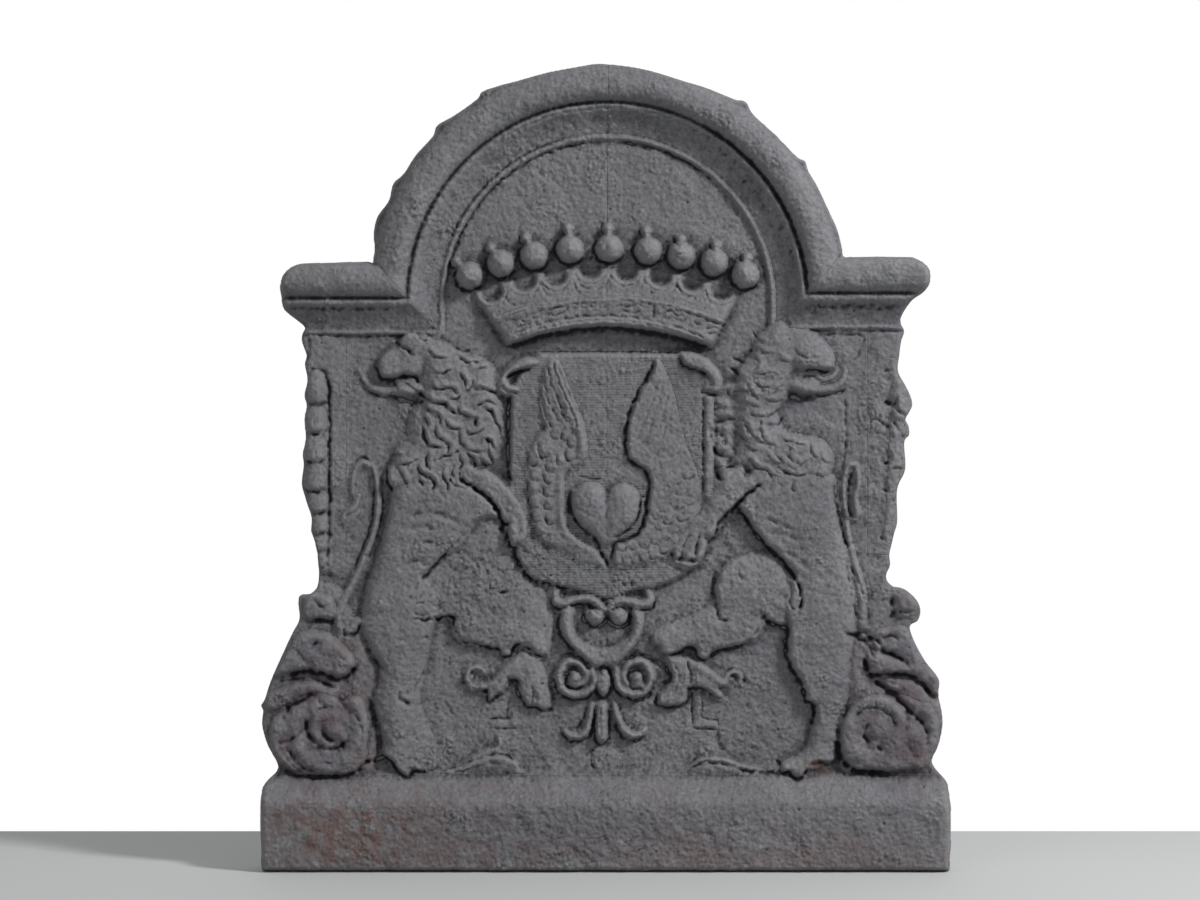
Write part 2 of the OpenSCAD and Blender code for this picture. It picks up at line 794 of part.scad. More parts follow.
module bar(a, b) {
    w = 1.6;
    d = b - a;
    translate([a[0], a[1], 0])
        rotate([0, 0, atan2(d[1], d[0])])
            translate([-w / 2, -w / 2, 0])
                cube([norm(d) + w, w, 1.6]);
}

module fret_left() {
    color(iron) proud() {
        bar([-112, 151], [-96, 151]);
        bar([-110, 140], [-87, 140]);
        bar([-126, 136], [-122, 156]);
    }
}

module fret_right() {
    color(iron) proud() {
        bar([85, 160], [86, 141]);
        bar([86, 140], [111, 139]);
        bar([111, 139], [111, 149]);
        bar([111, 149], [98, 150]);
    }
}

back_plate();
plinth();
arch_left();
arch_right();
arch_bead();
cornice_left();
cornice_right();
pilaster_left();
pilaster_right();
husks_left();
husks_right();
console_left();
console_right();
volute_left();
volute_right();
console_leaf_left();
console_leaf_right();
coronet_band();
coronet_cups();
pearls_large();
pearls_small();
shield_field();
shield_ear_left();
shield_ear_right();
heart();
wing_left();
wing_right();
lion_body_left();
lion_body_right();
lion_mane_left();
lion_mane_right();
lion_tail_left();
lion_tail_right();
ground_left();
ground_right();
lyre_scroll();
lower_volutes();
centre_bud();
pendant();
spray_left();
spray_right();
fret_left();
fret_right();
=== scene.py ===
"""A cast-iron fireback: every carved piece of the casting is raised from one field of heights, so that
neighbours meet exactly, and gets its own mesh, closed down to the plate. Lengths in this script are
millimetres until they go into a mesh: x across, z up, and the height h out of the plate's face."""
import math

import bpy
import numpy as np
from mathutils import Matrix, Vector


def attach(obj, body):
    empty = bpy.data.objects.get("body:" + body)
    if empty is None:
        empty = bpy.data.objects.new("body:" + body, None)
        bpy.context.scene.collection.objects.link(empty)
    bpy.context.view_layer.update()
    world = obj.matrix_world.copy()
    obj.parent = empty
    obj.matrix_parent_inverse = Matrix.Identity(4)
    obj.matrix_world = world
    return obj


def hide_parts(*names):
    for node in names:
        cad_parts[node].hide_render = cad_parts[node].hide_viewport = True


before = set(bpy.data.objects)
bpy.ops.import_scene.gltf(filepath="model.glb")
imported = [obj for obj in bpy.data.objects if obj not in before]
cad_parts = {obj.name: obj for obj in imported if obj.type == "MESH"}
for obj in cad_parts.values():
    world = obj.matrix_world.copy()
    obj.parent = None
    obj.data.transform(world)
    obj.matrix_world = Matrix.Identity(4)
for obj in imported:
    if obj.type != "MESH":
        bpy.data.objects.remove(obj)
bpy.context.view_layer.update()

MM = 0.001
FACE_Y, BACK_Y = 8.0, 28.0      # the plate's face, and its flat back
PITCH, BACK_PITCH = 1.0, 4.0    # spacing of the height samples, and of those on the back
LOW = -90.0                     # stands for "nothing here"
ARCH_X, ARCH_Z = 1.0, 565.0     # centre of the arch
SEAM_X = 0.5                    # where the two halves of the field meet
BEAD_IN, BEAD_OUT = 161.0, 168.6        # radii of the bead inside the arch
CORNICES = {"left": 370.0, "right": 375.0}      # the level a cornice's profile is counted up from
ROUNDING = 7.0                  # over how far the mouldings' ends round off to the outline
PLINTH_TOP = 92.5               # the plinth's slope runs on above it, as a part of the field
CORONET_Z = 265.0               # the coronet's circles are about (0, CORONET_Z), with these radii
RIM_IN, CUPS_IN, CUPS_OUT = 275.5, 306.0, 336.0
WING_BASE = 7.5                 # the wings lie on the shield's field
FIELD_TOP, FIELD = 0.8, -1      # what rises less is the plate's own face; its number as an owner
HATCH_STEP = 2.6                # of the lines across the shield
SLAB_EDGE, SLAB_SINK = 4.0, 3.0         # how far in and how deep the back's edge is rounded
BACK_DENTS, BACK_BUMPS = 1.4, 1.3       # how far the rough back may go in and out
PIECE_SEAT, SLAB_SEAT = 1.0, 3.0        # how deep behind the face a piece ends, and the slab begins
THINNEST = 0.2                  # of a piece, from its top to its flat underside
XS = np.arange(-347.0, 347.5, PITCH)
ZS = np.arange(0.0, 806.0, PITCH)
X, Z = np.meshgrid(XS, ZS)
NODES = sorted(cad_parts)
relief = {name: np.full(X.shape, LOW) for name in NODES}
cuts = []                       # grooves, taken out of whatever is on top


# ------------------------ drawing heights
def spline(a, b, c, d, gap):
    """The Catmull-Rom piece from b to c, c left out, with a sample about every gap."""
    n = max(1, int(np.hypot(*(c - b)[:2]) / gap))
    t = np.arange(n)[:, None] / n
    return 0.5 * (2 * b + (c - a) * t + (2 * a - 5 * b + 4 * c - d) * t * t
                  + (3 * b - a - 3 * c + d) * t ** 3)


def curve(points, gap):
    """A curve through the points, which are rows or else flat numbers x, z, x, z and so on."""
    p = np.array(points, float)
    if p.ndim == 1:
        p = p.reshape(-1, 2)
    last = len(p) - 1
    parts = [spline(p[max(i - 1, 0)], p[i], p[i + 1], p[min(i + 2, last)], gap) for i in range(last)]
    return np.vstack(parts + [p[-1:]])


def closed(points, gap):
    """The same curve, closed to a ring."""
    p = np.array(points, float)
    n = len(p)
    return np.vstack([spline(p[i - 1], p[i], p[(i + 1) % n], p[(i + 2) % n], gap) for i in range(n)])


def nearest(a, d, x, z):
    """Where on the line from a over d each place is nearest, as a part of d, and how far off it is."""
    t = np.clip(((x - a[0]) * d[0] + (z - a[1]) * d[1]) / max(d[0] ** 2 + d[1] ** 2, 1e-9), 0, 1)
    return t, np.hypot(x - a[0] - t * d[0], z - a[1] - t * d[1])


def ring(x, z, r, turns, rise=None):
    """Points around a centre at these turns, in radians; an ellipse if its rise is given."""
    return [(x + r * math.cos(t), z + (rise or r) * math.sin(t)) for t in turns]


def quarter(v):
    """The rise of a quarter circle, from 0 to 1 over v from 0 to 1."""
    return np.sqrt(1 - (1 - np.clip(v, 0, 1)) ** 2)


def window(x0, x1, z0, z1):
    """The part of the grid between these places, as two slices."""
    def span(v0, v1, axis):
        return slice(min(max(int((v0 - axis[0]) / PITCH), 0), len(axis) - 1),
                     max(min(int((v1 - axis[0]) / PITCH) + 2, len(axis)), 1))
    return span(z0, z1, ZS), span(x0, x1, XS)


def joined(a, b, blend):
    """The greater of a and b, with a fillet where they are within blend of each other."""
    top = np.maximum(a, b)
    if blend:
        near = np.maximum(blend - np.abs(a - b), 0)
        top = top + near * near / (4 * blend)
    return top


def limb(name, points, roundness=0.5, blend=0.0, base=0.0, gap=2.5):
    """A rounded limb through stations, each of four numbers: x, z, half width, height."""
    p = curve(np.reshape(points, (-1, 4)), gap)
    p[:, 2] = np.maximum(p[:, 2], 0.5)
    pad = p[:, 2].max() + 2
    w = window(p[:, 0].min() - pad, p[:, 0].max() + pad, p[:, 1].min() - pad, p[:, 1].max() + pad)
    part = np.full(X[w].shape, LOW)
    for a, b in zip(p[:-1], p[1:]):
        r = max(a[2], b[2])
        s = window(min(a[0], b[0]) - r, max(a[0], b[0]) + r, min(a[1], b[1]) - r, max(a[1], b[1]) + r)
        d = b - a
        t, off = nearest(a, d, X[s], Z[s])
        away = off / (a[2] + t * d[2])
        rise = (1 - np.minimum(away, 1) ** 2) ** roundness
        v = np.where(away < 1, base + (a[3] + t * d[3]) * rise, LOW)
        q = (slice(s[0].start - w[0].start, s[0].stop - w[0].start),
             slice(s[1].start - w[1].start, s[1].stop - w[1].start))
        part[q] = np.maximum(part[q], v)
    relief[name][w] = joined(relief[name][w], part, blend)


def dome(name, x, z, r, h, roundness=0.5, blend=0.0, base=0.0):
    """A rounded boss: a limb with hardly any length."""
    limb(name, [x, z, r, h, x + 0.01, z, r, h], roundness, blend, base)


def inside(points, x, z):
    """How far each place is inside a closed outline; negative outside. Where the points carry a third
    number, the width of the outline's edge there, it is counted in those widths."""
    p = np.array(points, float)
    within = np.zeros(x.shape, bool)
    dist = np.full(x.shape, 1e9)
    steep = np.full(x.shape, 1e9)
    for a, b in zip(p, np.roll(p, -1, axis=0)):
        d = (b - a)[:2]
        t, away = nearest(a, d, x, z)
        dist = np.minimum(dist, away)
        if p.shape[1] > 2:
            steep = np.minimum(steep, away / (a[2] + t * (b[2] - a[2])))
        if a[1] != b[1]:
            within ^= ((a[1] > z) != (b[1] > z)) & (x < d[0] * (z - a[1]) / d[1] + a[0])
    far = steep if p.shape[1] > 2 else dist
    return np.where(within, far, -far)


def slab(name, points, height, edge=3.0, base=0.0, blend=0.0, smooth=True, power=0.5):
    """A flat-topped form over a closed outline, rounded over edge at its sides. The outline is pairs
    x, z, or flat numbers x, z and the edge's width there, where 0 takes edge."""
    if np.ndim(points) == 1:
        points = np.reshape(np.array(points, float), (-1, 3))
        points[points[:, 2] == 0, 2] = edge
        edge = 1.0
    p = closed(points, 4.0) if smooth else np.array(points, float)
    w = window(p[:, 0].min() - 2, p[:, 0].max() + 2, p[:, 1].min() - 2, p[:, 1].max() + 2)
    deep = inside(p, X[w], Z[w])
    t = np.clip(deep / edge, 0, 1)
    v = np.where(deep > 0, base + height * (1 - (1 - t) ** 2) ** power, LOW)
    relief[name][w] = joined(relief[name][w], v, blend)


def cut(points, width=1.4, depth=2.5, ends=4.0):
    """A groove through points, tapered at its ends."""
    cuts.append((points, width, depth, ends))


def crease(points, width=1.4, depth=2.5, ends=4.0):
    """A groove between two rounded forms: the groove, and the wide dip that leads down to it."""
    cut(points, width, depth * 0.8, ends)
    cut(points, width * 3.6, depth * 0.5, ends * 2)


def each(draw, rows):
    """Cuts or creases, a row each: width, depth, then the line's x, z, x, z and so on."""
    for width, depth, *line in rows:
        draw(line, width, depth)


def ragged(points, width, depth, seed):
    """A groove with an eaten, wandering line and short cracks that leave it."""
    rng = np.random.default_rng(seed)
    p = curve(points, 3.0)
    p = p + rng.normal(0, 0.8, p.shape)
    cut(p, width, depth, 8.0)
    for q in p[1:-1:2]:
        way = rng.uniform(0, 2 * math.pi)
        reach = rng.uniform(2.5, 6.5)
        cut([q, q + reach * np.array([math.cos(way), math.sin(way)])], 0.9, depth * 0.5, 2.0)


def cut_heights(h):
    """Takes every groove out of h; worn iron lets its line wander and its depth come and go."""
    sway, drift = 0.42 * grain(5.5, 41), 0.42 * grain(5.5, 42)
    wear = np.clip(0.88 + 0.24 * grain(6.0, 43), 0.35, 1.25)
    for points, width, depth, ends in cuts:
        p = curve(points, 2.0)
        run = np.concatenate([[0], np.cumsum(np.hypot(*np.diff(p, axis=0).T))])
        strength = np.minimum(1, 0.35 + np.minimum(run, run[-1] - run) / ends)
        pad = 3 * width
        w = window(p[:, 0].min() - pad, p[:, 0].max() + pad, p[:, 1].min() - pad, p[:, 1].max() + pad)
        x, z = X[w] + sway[w], Z[w] + drift[w]
        worst = np.zeros(x.shape)
        for a, b, ka, kb in zip(p[:-1], p[1:], strength[:-1], strength[1:]):
            t, away = nearest(a, b - a, x, z)
            worst = np.maximum(worst, (ka + t * (kb - ka)) * np.exp(-(away / width) ** 2))
        h[w] -= depth * worst * wear[w]


def volute(cx, cz, r1, r2, start, turn, w1, w2, h1, h2, ease=0.8, n=26):
    """Stations of a scroll that winds from its outer end in to its eye."""
    out = []
    for k in range(n + 1):
        t = k / n
        r = r1 + (r2 - r1) * t ** ease
        a = math.radians(start + turn * t)
        out.append([cx + r * math.cos(a), cz + r * math.sin(a), w1 + (w2 - w1) * t, h1 + (h2 - h1) * t])
    return out


def blurred(h, sigma, mask=None):
    """Gaussian blur of h; with a mask, only from what is within it."""
    n = int(3 * sigma / PITCH) + 1
    k = np.exp(-0.5 * (np.arange(-n, n + 1) * PITCH / sigma) ** 2)
    k /= k.sum()

    def both(a):
        for axis in (0, 1):
            padded = np.pad(a, [(n, n) if i == axis else (0, 0) for i in (0, 1)], mode="edge")
            total = np.zeros(a.shape)
            for i, weight in enumerate(k):
                cut_at = [slice(None), slice(None)]
                cut_at[axis] = slice(i, i + a.shape[axis])
                total += weight * padded[tuple(cut_at)]
            a = total
        return a

    if mask is None:
        return both(h)
    return both(h * mask) / np.maximum(both(mask.astype(float)), 1e-6)


def grain(size, seed):
    """Even random relief with features of about this size, mean 0 and spread 1."""
    rng = np.random.default_rng(seed)
    white = rng.standard_normal(X.shape)
    fz = np.fft.fftfreq(X.shape[0], PITCH)[:, None]
    fx = np.fft.rfftfreq(X.shape[1], PITCH)[None, :]
    f = np.hypot(fx, fz) * size
    spec = np.fft.rfft2(white) * np.exp(-0.5 * (f * 2.2) ** 2) * (1 - np.exp(-0.5 * (f * 6) ** 2))
    out = np.fft.irfft2(spec, s=X.shape)
    return out / out.std()


def smooth_step(v, low, high):
    """From 0 to 1 as v goes from low to high, level at both ends."""
    t = np.clip((v - low) / (high - low), 0, 1)
    return t * t * (3 - 2 * t)


# ------------------------ the plate's outline

# The arch by angle in degrees and radius, then the two sides by x and z
arch_edge = [10.8, 240, 14.5, 240.5, 18, 240.5, 23, 239, 29, 239.3, 33, 239.5, 35.5, 242.6, 37.5, 238.2,
    44, 236.2, 52, 236.9, 55.3, 243.2, 58, 238.8, 65, 235, 70, 232.6, 80, 234, 88, 236.3, 93, 237.6,
    97, 236, 104, 236, 112, 238, 117.2, 242, 120.8, 244.2, 122.4, 240.6, 129, 240.4, 133.7, 244.8,
    136.5, 239.8, 142.5, 240.6, 147.5, 239.6, 151, 243.8, 155, 240, 159.5, 244.4, 163.5, 242.6, 167, 237.5,
    170.4, 236.6]
left_side = [-303, 604, -312, 601, -320, 594, -324, 584, -324, 573, -322, 560, -317, 554, -301, 541,
    -303, 535, -304, 527, -299, 512, -301, 504, -298, 487, -301, 473, -299, 462, -301, 449, -300, 429,
    -303, 414, -302, 403, -304, 385, -301, 372, -294, 351, -294, 336, -290, 326, -287, 307, -287, 290,
    -289, 280, -297, 273.5, -305, 273, -307, 266, -306, 249, -313, 235, -324, 211, -335, 186, -340, 170,
    -344, 163, -342, 158, -343, 144, -338, 125, -328, 106, -329, 97, -338, 88, -342.5, 79, -343.3, 60,
    -343, 30, -342, -0.6]
right_side = [341, -0.6, 342.5, 30, 342.5, 60, 341, 79, 339, 88, 328, 101, 325, 110, 331, 123, 335, 139,
    335, 154, 331, 176, 331, 190, 318, 208, 308, 226, 303, 242, 311, 248, 313.5, 258, 309, 269, 298, 279,
    288, 281, 281, 287, 280, 294, 284, 303, 283, 313, 285, 322, 288, 335, 291, 347, 291, 379, 299, 399,
    298, 426, 303, 433, 302, 443, 299, 449, 306, 463, 302, 477, 292, 496, 293, 512, 295, 527, 298, 537,
    294, 548, 304, 566, 316, 575, 322, 584, 322.5, 596, 316, 605, 305, 610.5]
crown = [(ARCH_X + r * math.cos(math.radians(a)), ARCH_Z + r * math.sin(math.radians(a)))
         for a, r in np.reshape(arch_edge, (-1, 2))]
outline = np.vstack([curve(right_side, 2.0), [[270, 611], [244, 610.5]], curve(crown, 2.0),
                     [[-238, 606], [-270, 605]], curve(left_side, 2.0)])


def rim_depth(xs, zs, reach=12.0):
    """How far each place of a grid is inside the plate's outline, up to reach; negative outside."""
    nxt = np.roll(outline, -1, axis=0)
    d = nxt - outline
    crosses = (outline[:, 1, None] > zs) != (nxt[:, 1, None] > zs)
    with np.errstate(divide="ignore", invalid="ignore"):
        at = d[:, 0, None] * (zs - outline[:, 1, None]) / d[:, 1, None] + outline[:, 0, None]
    within = np.stack([np.searchsorted(np.sort(at[crosses[:, k], k]), xs) % 2 == 1 for k in range(len(zs))])
    x, z = np.meshgrid(xs, zs)
    dist = np.full(x.shape, reach)
    for a, b, v in zip(outline, nxt, d):
        i0, i1 = np.searchsorted(xs, [min(a[0], b[0]) - reach, max(a[0], b[0]) + reach])
        k0, k1 = np.searchsorted(zs, [min(a[1], b[1]) - reach, max(a[1], b[1]) + reach])
        s = (slice(k0, k1), slice(i0, i1))
        dist[s] = np.minimum(dist[s], nearest(a, v, x[s], z[s])[1])
    return np.where(within, dist, -dist)


rim = rim_depth(XS, ZS)


# ------------------------ mouldings
PROFILE = np.reshape([
    150, 0, 160.5, 0, 161.5, 0.4, 162.5, 2.2, 164, 4.6, 165.3, 5, 166.6, 4.4, 168, 2.4, 169.5, 2.4,
    173, 3.2, 179, 5.2, 184, 8.2, 188, 11.4, 191, 14.6, 192.5, 16.4, 193.5, 17.2, 196.8, 17.6, 198, 14.2,
    199.6, 13.8, 200.8, 17.8, 203, 21.4, 207, 24.8, 212, 26.8, 217, 27, 223, 25.6, 229, 22.4, 233, 18.6,
    236, 14.5, 239, 10.5, 246, 6], (-1, 2))             # radius on the arch, height
radius = np.where(Z > ARCH_Z, np.hypot(X - ARCH_X, Z - ARCH_Z), np.abs(X - ARCH_X))
for side, end in ((-1, "left"), (1, "right")):
    half = (X - ARCH_X - 0.25) * side > 0
    level = Z - CORNICES[end]
    m = np.minimum(radius, level)
    h = np.interp(m, *PROFILE.T)
    on_cornice = half & (level < radius) & (radius > BEAD_IN) & (m > BEAD_IN)
    on_arch = half & (level >= radius) & (m > BEAD_OUT)
    on_bead = half & (level >= radius) & (m > BEAD_IN) & (m <= BEAD_OUT)
    relief["cornice_" + end][on_cornice] = (h * (0.35 + 0.65 * quarter(rim / ROUNDING)))[on_cornice]
    relief["arch_" + end][on_arch] = h[on_arch]
    relief["arch_bead"][on_bead] = h[on_bead]

# Lines the chisel left along the mouldings, deeper on the right: radius, from and to in degrees,
# width, depth, ends
for r, first, last, width, depth, ends in (
        (190, 72, 2, 3.4, 2.6, 60), (183, 60, 12, 4, 1.8, 60), (199.5, 62, 1, 2.2, 3.4, 40),
        (161.3, 172, 96, 1.5, 2.6, 20), (168.8, 160, 106, 1.3, 1.8, 30), (161.6, 86, 50, 1.7, 3, 16),
        (193, 128, 84, 1.4, 1.8, 20), (193, 80, 50, 1.6, 2.4, 20)):
    cut(ring(ARCH_X, ARCH_Z, r, np.radians(np.linspace(first, last, 24))), width, depth, ends)
cut([-317, 559.5, -262, 558.5, -202, 559], 2.6, 3, ends=14)
cut([-306, 533, -250, 532.5, -200, 532.5], 1.4, 2)
cut([202, 561, 250, 561.5, 292, 560], 3, 3.2, ends=14)
cut([204, 538, 250, 539, 284, 538], 1.5, 2)

# The bead's curled feet
limb("arch_bead", [-164.5, 545, 3.2, 4.6, -166, 535, 3.4, 5, -170, 529, 3.6, 4.6, -176, 530, 3, 4])
limb("arch_bead", [166.5, 552, 3.2, 4.4, 164, 540, 3.2, 4.4, 157, 533, 3.2, 4, 149, 527, 3, 3.4])

# ------------------------ plinth
PLINTH = np.reshape([
    0, 31.8, 4, 33.6, 12, 34.1, 60, 34.2, 66, 33.8, 70, 32.4, 74, 29.6, 82, 21.2, 88, 14.8, 92, 9.5,
    96, 5, 101, 1.6, 106, 0], (-1, 2))                  # level, height
base_block = np.interp(Z, *PLINTH.T)
relief["plinth"] = np.where(Z <= PLINTH_TOP, base_block * (0.45 + 0.55 * quarter(rim / ROUNDING)), LOW)
slope = np.where(Z > PLINTH_TOP, base_block, 0.0)

# ------------------------ pilasters, husks
INNER, OUTER = 252, 277                             # over this the strip rises out of the field
for side, end, low, high in ((-1, "left", 294, 534), (1, "right", 312, 536)):
    strip = (X * side > INNER) & (Z > low) & (Z < high)
    rise = smooth_step(X * side, INNER, OUTER) * np.clip(rim / 3, 0.2, 1)
    relief["pilaster_" + end][strip] = 3.0 * rise[strip]
husk_marks = [497, 465, 436, 407, 378, 356, 335, 317, 301]     # where one husk slips into the next
for top, foot in zip(husk_marks, husk_marks[1:]):
    x = -np.interp((top + foot) / 2, [300, 345, 400, 500], [283, 286, 290.5, 289.5])
    limb("husks_left", [[x, top - 6, 9, 7], [x, (top + foot) / 2, 12.5, 10], [x, foot + 6, 12.5, 11.5]],
        blend=1, base=0.5, roundness=0.7)
    cut([(-304, foot + 1.5), (-296, foot - 1), (-288, foot - 2), (-279, foot + 1)], 1.9, 3.6)
each(cut, [
    (1.7, 3.6, -277, 488, -276.5, 440, -276.5, 360, -277.5, 300),
    (2, 2.6, -301, 489, -295, 497, -288, 499, -281, 495, -277, 487),
    (2.2, 2.4, -298, 534, -298, 520, -299, 508),
    (1.2, 1.6, -290, 448, -291, 441),
    (1.2, 1.6, -290, 418, -290, 410)])
right_cells = [(500, 286, 8, 6), (478, 291, 11, 10), (460, 294, 12, 11), (441, 290, 11, 9.5),
    (424, 288, 10, 9), (408, 288, 10, 9), (392, 286, 9, 8.5), (377, 284, 8.5, 8), (360, 283, 8, 7),
    (345, 281, 7, 6.5), (330, 279, 6.5, 6)]
for z, x, r, h in right_cells:
    limb("husks_right", [[x, z + 6, r * 0.8, h * 0.75], [x, z - 4, r, h * 0.85]], blend=6.0, roundness=1.0)
each(cut, [
    (2.6, 4.4, 279, 467, 284, 463),
    (2.4, 4, 277, 404, 284, 406),
    (2.4, 3.2, 277, 378, 282, 376),
    (2.2, 3, 274, 331, 279, 327),
    (1.5, 2.2, 262, 446, 268, 449, 275, 445, 281, 441),
    (1.3, 2.2, 274, 496, 281, 498, 286, 497),
    (1.6, 2.8, 290, 470, 288, 462, 293, 456, 299, 452),
    (1.5, 2.4, 287, 447, 291, 438, 297, 431),
    (1.5, 2.2, 284, 397, 290, 400, 297, 398),
    (1.4, 1.8, 284, 372, 288, 364)])

# ------------------------ consoles
slab("console_left", [-236, 95, 14, -262, 92, 8, -330, 92, 8, -350, 150, 0, -350, 200, 0, -312, 278, 0,
    -270, 284, 16, -256, 262, 20, -246, 240, 16, -236, 224, 16, -228, 196, 14, -232, 160, 14,
    -228, 120, 14], 7, edge=9)
slab("console_right", [236, 95, 12, 262, 93, 8, 330, 93, 8, 350, 150, 0, 350, 200, 0, 322, 240, 0,
    318, 286, 0, 280, 288, 14, 262, 268, 20, 252, 246, 20, 246, 230, 18, 240, 200, 18, 236, 160, 14,
    233, 120, 12], 7, edge=9)
slab("volute_left", [-237, 122, 8, -238, 108, 8, -246, 98, 6, -258, 93.5, 5, -278, 92.5, 5, -300, 93, 5,
    -315, 97, 6, -328, 106, 7, -336, 122, 8, -337, 142, 8, -329, 156, 7, -318, 161, 7, -306, 170, 6,
    -293, 177, 6, -280, 178, 8, -264, 170, 14, -250, 160, 10, -241, 146, 8], 14.5, power=0.55)
limb("volute_left", [-250, 164, 9, 3, -246, 148, 9, 4, -249, 126, 10, 4.5, -260, 110, 10, 4.5,
    -278, 103, 9, 4.5, -297, 109, 9, 4.5, -309, 124, 8, 4, -312, 140, 8, 3.5, -304, 155, 8, 3.5,
    -290, 163, 8, 3.5, -274, 165, 8, 3], base=12.5, roundness=0.8, blend=1.5)
limb("volute_left", [-262, 150, 8, 3.5, -274, 155, 8, 4, -287, 151, 7, 4, -291, 140, 6.5, 4,
    -286, 130, 6.5, 4, -275, 126, 6.5, 4, -264, 131, 7, 4], base=13, roundness=0.8, blend=1)
dome("volute_left", -271, 140, 9, 5, roundness=0.7, blend=1, base=14)
limb("volute_left", [-327, 138, 7, 3, -316, 140, 9, 3.5, -307, 143, 6, 2.5], base=12, roundness=0.8,
    blend=1)
crease([-299, 150, -298, 141, -295, 133, -289, 126, -282, 121.5, -273, 120.5, -265, 122, -259.5, 127], 2, 5)
crease([-284, 140, -280, 133.5, -274, 129, -267, 128], 2, 4.2)
crease([-256, 156, -250, 153, -245, 147, -242.5, 137, -243, 126, -247, 116], 1.5, 2.6, ends=12)
each(crease, [
    (2, 4.6, -321, 150, -317, 159, -308, 166, -299, 169, -294, 174, -288, 171, -286, 165),
    (1.8, 3.6, -325, 126, -315, 128.5, -308, 133.5, -303, 139),
    (1.6, 3, -315, 119, -311, 112, -304, 104, -297, 98.5, -290, 97),
    (1.3, 2.2, -324, 121, -318, 111, -310, 102, -302, 96),
    (1.4, 1.6, -286, 108, -276, 106, -266, 108),
    (1.5, 2, -290, 159, -280, 161, -270, 159),
    (2, 3.4, -328, 102, -314, 95, -296, 91.5, -278, 92, -260, 92.5, -250, 98, -242, 105, -236, 110)])
slab("volute_right", [231.5, 134, 7, 231.5, 122, 6, 235, 111, 5, 242, 102.5, 5, 251, 98, 5, 266, 97, 5,
    282, 96, 6, 300, 97, 10, 316, 98, 10, 328, 110, 10, 333, 130, 10, 333, 150, 10, 326, 166, 10,
    310, 172, 8, 298, 176, 7, 284, 174, 7, 268, 176, 8, 250, 170, 9, 240, 160, 9, 234, 147, 8], 14.5,
    power=0.55)
limb("volute_right", [292, 134, 9, 3, 286, 118, 9, 3, 270, 108, 9, 3, 253, 112, 8, 3, 243, 126, 8, 3,
    243, 144, 8, 3, 254, 160, 8, 3, 270, 166, 8, 3, 286, 160, 8, 2.5, 293, 148, 8, 2.5], base=13,
    roundness=0.8, blend=1.5)
dome("volute_right", 271, 141, 13, 4, roundness=0.8, blend=1, base=13)
limb("volute_right", [318, 160, 7, 3, 324, 144, 8, 3.5, 322, 126, 7, 3], base=12, roundness=0.8, blend=1)
crease([232, 138, 231.5, 122, 235, 110.5, 242, 102, 251, 97.5, 265, 96.5, 281, 95], 2.5, 5.5, ends=10)
each(crease, [
    (1.5, 2.8, 247, 150, 254.7, 158, 265, 161.5, 276, 159, 283, 153.5, 287, 144),
    (2.3, 5, 256.5, 133, 261, 127, 267.5, 122, 274, 120),
    (1.2, 2.2, 260, 146, 258.5, 140, 257, 134),
    (2, 4.6, 289, 170, 295, 166.5, 300, 160, 307, 153.5, 315.6, 145, 319.5, 135, 319, 126),
    (2, 2.2, 299, 160, 299.5, 148, 298, 136),
    (2.6, 2, 301, 131, 302, 120, 308, 112),
    (2.8, 3.5, 290, 170, 295, 167),
    (1.4, 2, 236, 168, 240, 160, 236, 148)])

# Leaves of the consoles
slab("console_leaf_left", [-300, 276, 6, -284, 277, 6, -271, 270, 6, -268, 256, 5, -273, 248, 4,
    -284, 248.5, 4, -296, 247, 5, -304, 254, 6], 12, edge=6)
slab("console_leaf_left", [-252, 215, 8, -249, 205, 6, -254, 196, 5, -262, 191, 4, -272, 192, 4,
    -286, 196, 4, -300, 198, 5, -314, 194, 6, -330, 190, 8, -336, 186, 6, -326, 208, 6, -312, 232, 7,
    -300, 240, 9, -284, 240, 9, -270, 234, 9, -260, 224, 9], 14.5, power=0.6, edge=7)
slab("console_leaf_left", [-262, 184, 8, -272, 181, 4, -280, 184, 4, -290, 188, 5, -306, 188, 6,
    -322, 184, 7, -338, 176, 6, -342, 160, 6, -330, 156, 7, -320, 162, 5, -308, 169, 4, -298, 173, 4,
    -286, 172, 5, -270, 170, 8], 12.5, power=0.6, edge=7)
each(crease, [
    (2.2, 5, -294, 246, -285, 248, -280, 246.5, -271, 247),
    (2.3, 5.5, -314, 193.5, -297, 197.5, -286.8, 195.5, -278, 193, -271.5, 189.5, -265.5, 188, -259.5, 191,
     -255, 196, -250, 200),
    (1.8, 3.6, -288, 188, -280, 184.5, -273, 180.5),
    (1.4, 2.2, -326, 186, -314, 189, -300, 190),
    (1.5, 2.6, -295, 220, -291, 225, -286, 227),
    (1.5, 1.6, -312, 222, -304, 214, -300, 208),
    (1.5, 1.2, -282, 214, -270, 212, -258, 208),
    (1.4, 2.2, -290, 268, -284, 262, -276, 264)])
dome("console_leaf_right", 300, 263, 17.5, 14, roundness=0.55)
slab("console_leaf_right", [262, 232, 6, 266, 216, 5, 276, 217, 4, 286, 212, 4, 298, 207, 4, 306, 202, 5,
    316, 198, 8, 316, 216, 8, 306, 232, 8, 298, 244, 8, 282, 244, 8, 268, 240, 7], 11.5, edge=7)
slab("console_leaf_right", [259, 213, 5, 259, 203, 4, 263, 195, 4, 275, 193.5, 4, 287, 194.5, 4,
    297, 195, 4, 307, 191.5, 4, 316, 185, 4, 325, 174, 5, 334, 170, 6, 336, 190, 8, 322, 204, 8,
    306, 208, 7, 290, 212, 6, 276, 216, 6, 266, 218, 6], 14, power=0.6, edge=6)
